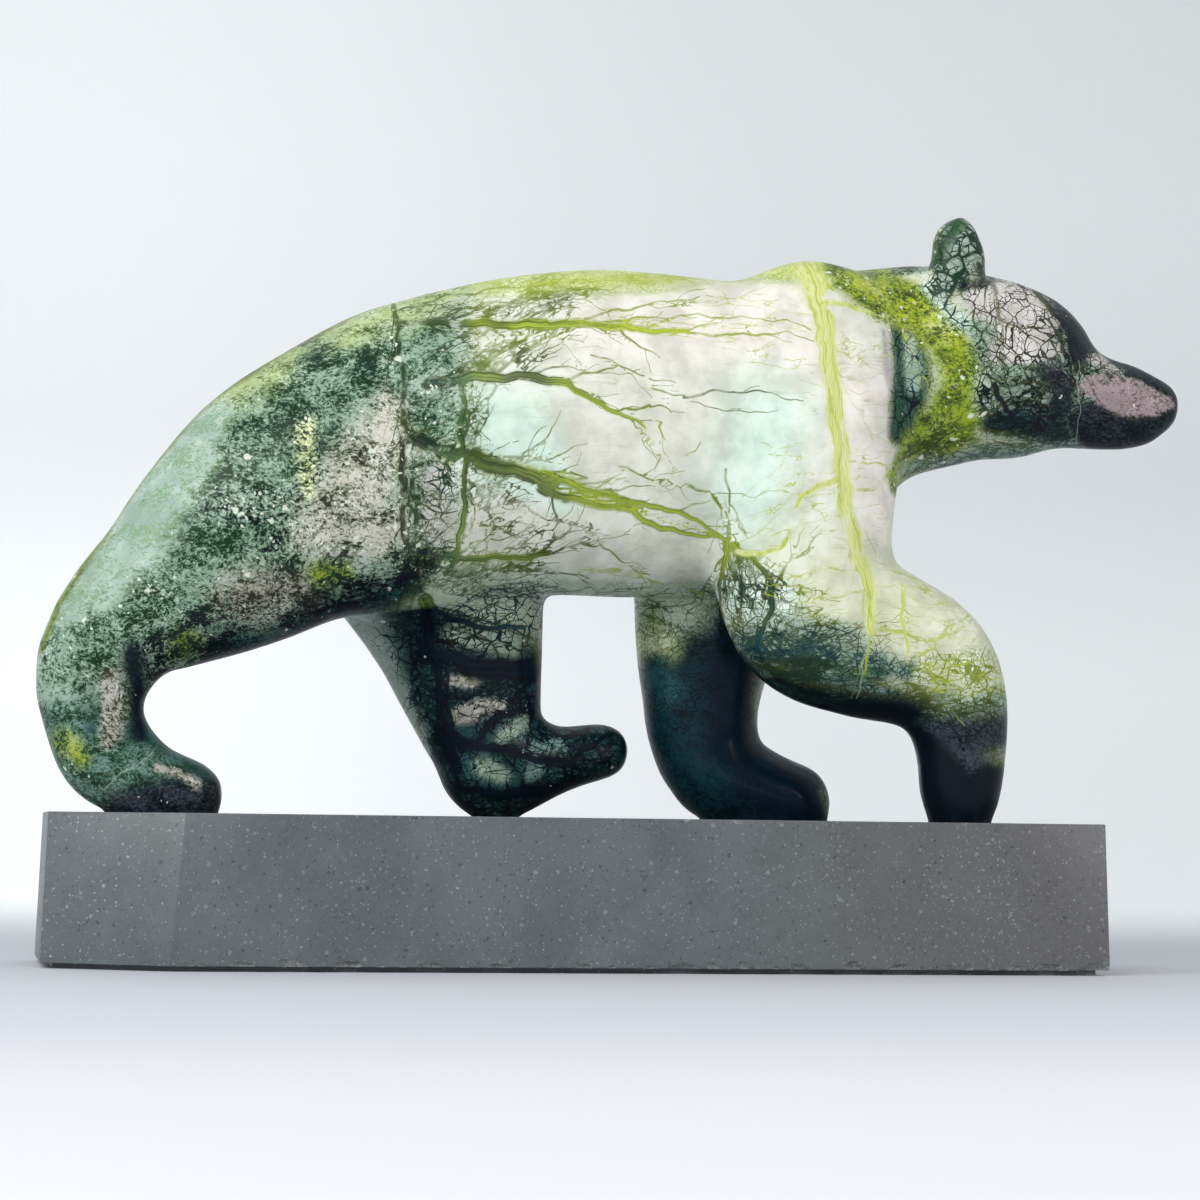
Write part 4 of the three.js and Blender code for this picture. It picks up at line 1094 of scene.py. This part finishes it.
def placeChips():
    shape = plinthShape
    dice = random.Random(shape["chipSeed"])
    halfLength = shape["length"] / 2
    halfDepth = shape["depth"] / 2
    cornerX = -halfLength + shape["cornerAlong"]
    chips = []
    for size, count, level in (
        (shape["lowChipSize"], shape["lowChips"], shape["bottom"]),
        (shape["topChipSize"], shape["topChips"], shape["top"]),
    ):
        for n in range(count):
            reach = size[0] + (size[1] - size[0]) * dice.random() ** 2
            along = cornerX + (halfLength - cornerX) * ((n // 2 + dice.random()) * 2 / count)
            side = -1 if n % 2 == 0 else 1
            away = side * (halfDepth + reach * 0.25)
            chips.append(addChip((along, away, level), reach, dice))
    for along, reach in shape["breaks"]:
        place = (along, -halfDepth - reach * 0.2, shape["bottom"] - reach * 0.35)
        chips.append(addChip(place, reach, dice))
    for n in range(9):
        reach = dice.uniform(*shape["lowChipSize"])
        away = -halfDepth + shape["depth"] * (n + dice.random()) / 9
        chips.append(addChip((halfLength, away, shape["bottom"]), reach, dice))
    letGo()
    for chip in chips:
        chip.select_set(True)
    bpy.context.view_layer.objects.active = chips[0]
    bpy.ops.object.join()
    cluster = bpy.context.active_object
    cluster.name = "chipStones"
    bpy.ops.object.transform_apply(location=True, rotation=True, scale=True)
    return cluster


def sawPlinth(stoneFinish, brokenFinish):
    shape = plinthShape
    height = shape["top"] - shape["bottom"]
    letGo()
    bpy.ops.mesh.primitive_cube_add(size=1, location=(0, 0, shape["bottom"] + height / 2))
    plinth = bpy.context.active_object
    plinth.name = "stonePlinth"
    bpy.ops.object.mode_set(mode="EDIT")
    bpy.ops.mesh.select_all(action="SELECT")
    bpy.ops.transform.resize(value=(shape["length"], shape["depth"], height))
    bpy.ops.mesh.select_all(action="DESELECT")
    bpy.ops.object.mode_set(mode="OBJECT")
    bpy.ops.object.transform_apply(location=True, rotation=True, scale=True)

    # The ends lean in a little towards the top
    narrowing = 1 - 2 * shape["endTaper"] / shape["length"]
    for vertex in plinth.data.vertices:
        if vertex.co.z > shape["top"] - 0.001:
            vertex.co.x *= narrowing

    # One front corner is sawn off on a slant
    lean = math.atan2(shape["cornerLean"], height)
    slant = math.atan2(shape["cornerBack"], shape["cornerAlong"])
    bpy.ops.object.mode_set(mode="EDIT")
    bpy.ops.mesh.select_all(action="SELECT")
    bpy.ops.mesh.bisect(
        plane_co=(
            -shape["length"] / 2 + shape["cornerAlong"],
            -shape["depth"] / 2,
            shape["bottom"],
        ),
        plane_no=(
            -math.cos(lean) * math.sin(slant),
            -math.cos(lean) * math.cos(slant),
            math.sin(lean),
        ),
        clear_outer=True,
        use_fill=True,
    )
    bpy.ops.mesh.select_all(action="SELECT")
    bpy.ops.mesh.normals_make_consistent(inside=False)
    bpy.ops.object.mode_set(mode="OBJECT")
    applyModifier(
        plinth,
        "BEVEL",
        "arris",
        width=shape["arris"],
        segments=2,
        limit_method="ANGLE",
        angle_limit=math.radians(20),
    )

    # A narrow set-in foot under the block
    bpy.ops.object.mode_set(mode="EDIT")
    bpy.ops.mesh.select_mode(type="FACE")
    bpy.ops.mesh.select_all(action="DESELECT")
    bpy.ops.object.mode_set(mode="OBJECT")
    for face in plinth.data.polygons:
        face.select = face.normal.z < -0.99 and face.area > 0.01
    bpy.ops.object.mode_set(mode="EDIT")
    bpy.ops.mesh.inset(thickness=shape["footInset"])
    bpy.ops.mesh.extrude_region_move(
        TRANSFORM_OT_translate={"value": (0, 0, -shape["bottom"])}
    )
    bpy.ops.object.mode_set(mode="OBJECT")

    plinth.data.materials.append(stoneFinish)
    chips = placeChips()
    chips.data.materials.append(brokenFinish)
    applyModifier(
        plinth,
        "BOOLEAN",
        "chipping",
        operation="DIFFERENCE",
        object=chips,
        solver="EXACT",
        use_self=True,
        material_mode="TRANSFER",
    )
    bpy.data.objects.remove(chips)
    takeUp(plinth)
    bpy.ops.object.shade_smooth_by_angle(angle=math.radians(24))
    print("plinth:", len(plinth.data.polygons), "faces")
    return plinth


plinthLook = {
    "grey": (0.122, 0.142, 0.147),
    "greyDark": (0.088, 0.1, 0.105),
    "warmGrey": (0.104, 0.094, 0.097),
    "fleck": (0.36, 0.4, 0.38),
    "darkFleck": (0.03, 0.036, 0.04),
    "broken": (0.27, 0.28, 0.27),
    "roughness": 0.42,
}


def honedPlinthStone():
    look = plinthLook
    f = Finish("honedGreyStone")
    spot = f.spot()
    sway = f.vectors("SUBTRACT", f.cloud(spot, 300, 1, 0.7, output="Color"), (0.5, 0.5, 0.5))
    ragged = f.vectors("ADD", spot, f.vectors("SCALE", sway, scale=0.0022))
    along = f.add("ShaderNodeSeparateXYZ", {"Vector": spot}).outputs["X"]
    grain = f.cloud(spot, 520, 5, 0.75)
    body = f.mix(f.ramp(f.cloud(spot, 22, 4, 0.6), 0.3, 0.7), (*look["greyDark"], 1), (*look["grey"], 1))
    body = f.mix(f.maths("MULTIPLY", f.ramp(along, 0.02, 0.3), 0.8), body, (*look["warmGrey"], 1))
    body = f.mix(f.ramp(grain, 0.35, 0.7, 0.0, 0.55), body, (*look["grey"], 1))
    lightPatch = f.add(
        "ShaderNodeTexGradient",
        {"Vector": f.add(
            "ShaderNodeMapping",
            {"Vector": spot, "Location": (-5.4, 0, -0.96), "Scale": (24, 0, 20)},
        ).outputs["Vector"]},
        gradient_type="SPHERICAL",
    ).outputs["Fac"]
    for scale, size, share in ((150, 0.22, 0.26), (330, 0.3, 0.22), (700, 0.36, 0.2)):
        cell = f.add("ShaderNodeTexVoronoi", {"Vector": ragged, "Scale": scale})
        dot = cell.outputs["Distance"]
        parts = f.add("ShaderNodeSeparateColor", {"Color": cell.outputs["Color"]})
        often = f.maths("ADD", share, f.maths("MULTIPLY", lightPatch, 0.4))
        chosen = f.maths("LESS_THAN", parts.outputs[0], often)
        mask = f.maths("MULTIPLY", f.ramp(dot, size * 0.6, size, 0.75, 0.0), chosen)
        mask = f.maths("MULTIPLY", mask, f.ramp(parts.outputs[1], 0, 1, 0.25, 1.0))
        body = f.mix(mask, body, (*look["fleck"], 1))
        dark = f.maths("GREATER_THAN", parts.outputs[2], 0.82)
        shade = f.maths("MULTIPLY", f.ramp(dot, size * 0.6, size, 0.6, 0.0), dark)
        body = f.mix(shade, body, (*look["darkFleck"], 1))
    f.put(f.shader.inputs["Base Color"], body)
    f.put(f.shader.inputs["Roughness"], f.ramp(grain, 0.3, 0.7, look["roughness"] - 0.08, look["roughness"] + 0.12))
    bump = f.add("ShaderNodeBump", {"Strength": 0.12, "Distance": 0.0006, "Height": f.cloud(spot, 700, 2)})
    f.put(f.shader.inputs["Normal"], bump.outputs["Normal"])
    return f.material


def brokenPlinthStone():
    look = plinthLook
    f = Finish("brokenGreyStone")
    spot = f.spot()
    crumb = f.cloud(spot, 700, 5, 0.75)
    body = f.mix(f.ramp(crumb, 0.35, 0.65), (*look["grey"], 1), (*look["broken"], 1))
    f.put(f.shader.inputs["Base Color"], body)
    f.shader.inputs["Roughness"].default_value = 0.85
    bump = f.add("ShaderNodeBump", {"Strength": 0.6, "Distance": 0.0008, "Height": crumb})
    f.put(f.shader.inputs["Normal"], bump.outputs["Normal"])
    return f.material


plinth = sawPlinth(honedPlinthStone(), brokenPlinthStone())

# Stage, lights and camera
stageLook = {
    "floorTone": (0.55, 0.565, 0.605),
    "nearTone": (0.62, 0.62, 0.64),
    "wallTone": (0.76, 0.79, 0.8),
    "wallTop": (0.85, 0.88, 0.89),
    "wallGlow": 0.29,
    "lowGlow": 0.56,
    "worldTone": (0.93, 0.96, 1.0),
    "worldBack": 1.07,
    "worldFront": 0.11,
}


def setStage():
    letGo()
    bpy.ops.mesh.primitive_plane_add(size=1, location=(0, 0, 0))
    floor = bpy.context.active_object
    floor.name = "studioFloor"
    bpy.ops.object.mode_set(mode="EDIT")
    bpy.ops.mesh.select_all(action="SELECT")
    bpy.ops.transform.resize(value=(12, 4.9, 1))
    bpy.ops.object.mode_set(mode="OBJECT")
    for vertex in floor.data.vertices:
        vertex.co.y -= 0.35
    bpy.ops.object.mode_set(mode="EDIT")
    bpy.ops.mesh.select_all(action="DESELECT")
    bpy.ops.object.mode_set(mode="OBJECT")
    for edge in floor.data.edges:
        ends = [floor.data.vertices[i].co.y for i in edge.vertices]
        edge.select = min(ends) > 2.0
    bpy.ops.object.mode_set(mode="EDIT")
    bpy.ops.mesh.select_mode(type="EDGE")
    bends = 10
    rise = 0.5
    for n in range(bends):
        start, end = (math.radians(90 * k / bends) for k in (n, n + 1))
        step = (
            0,
            rise * (math.sin(end) - math.sin(start)),
            rise * (math.cos(start) - math.cos(end)),
        )
        bpy.ops.mesh.extrude_region_move(TRANSFORM_OT_translate={"value": step})
    bpy.ops.mesh.extrude_region_move(TRANSFORM_OT_translate={"value": (0, 0, 4)})
    bpy.ops.object.mode_set(mode="OBJECT")
    bpy.ops.object.shade_smooth()
    paper = Finish("palePaper")
    # Painted light on the paper: the floor is painted lighter towards the camera and the wall lighter towards its top,
    # standing in for how the studio light falls on them
    deep = paper.add("ShaderNodeSeparateXYZ", {"Vector": paper.spot()}).outputs["Y"]
    floorTone = (*stageLook["floorTone"], 1)
    tone = paper.mix(paper.ramp(deep, -1.0, -0.55), (*stageLook["nearTone"], 1), floorTone)
    high = paper.add("ShaderNodeSeparateXYZ", {"Vector": paper.spot()}).outputs["Z"]
    wall = paper.mix(paper.ramp(high, 0.4, 1.0), (*stageLook["wallTone"], 1), (*stageLook["wallTop"], 1))
    tone = paper.mix(paper.ramp(deep, 0.3, 1.3), tone, wall)
    paper.put(paper.shader.inputs["Base Color"], tone)
    # The paper also glows with painted light (emission) on the far floor and wall, strongest low down, weaker to the
    # right and fading out towards the front; it is no lamp
    paper.put(paper.shader.inputs["Emission Color"], tone)
    glow = paper.ramp(high, 0.25, 0.62, stageLook["lowGlow"], stageLook["wallGlow"])
    across = paper.add("ShaderNodeSeparateXYZ", {"Vector": paper.spot()}).outputs["X"]
    glow = paper.maths("MULTIPLY", glow, paper.ramp(across, -0.2, 0.8, 1.0, 0.6))
    glow = paper.maths("MULTIPLY", glow, paper.ramp(deep, 0.3, 2.1))
    paper.put(paper.shader.inputs["Emission Strength"], glow)
    paper.shader.inputs["Roughness"].default_value = 0.8
    floor.data.materials.append(paper.material)


def addSoftLight(name, place, aim, size, power, colour=(1, 1, 1)):
    bpy.ops.object.light_add(type="AREA", location=place)
    light = bpy.context.active_object
    light.name = name
    light.data.shape = "RECTANGLE"
    light.data.size, light.data.size_y = size
    light.data.energy = power
    light.data.color = colour
    toward = Vector(aim) - Vector(place)
    light.rotation_euler = toward.to_track_quat("-Z", "Y").to_euler()
    return light


def setLights():
    # The room is bright behind the carving and dimmer in front of it
    world = bpy.data.worlds.new("studioAir")
    bpy.context.scene.world = world
    world.use_nodes = True
    tree = world.node_tree
    air = tree.nodes["Background"]
    heading = tree.nodes.new("ShaderNodeTexCoord")
    parts = tree.nodes.new("ShaderNodeSeparateXYZ")
    fade = tree.nodes.new("ShaderNodeMapRange")
    tree.links.new(heading.outputs["Generated"], parts.inputs[0])
    tree.links.new(parts.outputs["Y"], fade.inputs["Value"])
    fade.inputs["From Min"].default_value = -0.7
    fade.inputs["From Max"].default_value = 0.35
    fade.inputs["To Min"].default_value = stageLook["worldFront"]
    fade.inputs["To Max"].default_value = stageLook["worldBack"]
    tree.links.new(fade.outputs["Result"], air.inputs["Strength"])
    air.inputs["Color"].default_value = (*stageLook["worldTone"], 1)
    middle = (0, 0, 0.25)
    addSoftLight("keySoftbox", (-1.9, -1.7, 1.5), middle, (2.2, 1.4), 54)
    addSoftLight("windowSoftbox", (1.7, -1.7, 0.9), middle, (0.7, 1.0), 15, (1, 0.97, 0.98))
    addSoftLight("overheadSoftbox", (-0.3, -2.3, 2.0), middle, (1.6, 1.0), 20)


def setCamera():
    right, up, ahead = viewAxes()
    bpy.ops.object.camera_add()
    camera = bpy.context.active_object
    camera.name = "sideCamera"
    turned = Matrix((right, up, -ahead)).transposed().to_4x4()
    camera.matrix_world = Matrix.Translation(Vector(sideView["eye"])) @ turned
    camera.data.sensor_fit = "HORIZONTAL"
    camera.data.sensor_width = sideView["sensor"]
    full = 2 * sideView["middle"]
    camera.data.lens = sideView["reach"] / full * sideView["sensor"]
    camera.data.clip_start = 0.05
    bpy.context.scene.camera = camera
    bpy.context.scene.view_settings.view_transform = "Standard"


setStage()
setLights()
setCamera()

bear.data.materials.clear()
bear.data.materials.append(polishedStone())
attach(bear, "root")
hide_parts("bear")
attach(plinth, "root")
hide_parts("plinth")
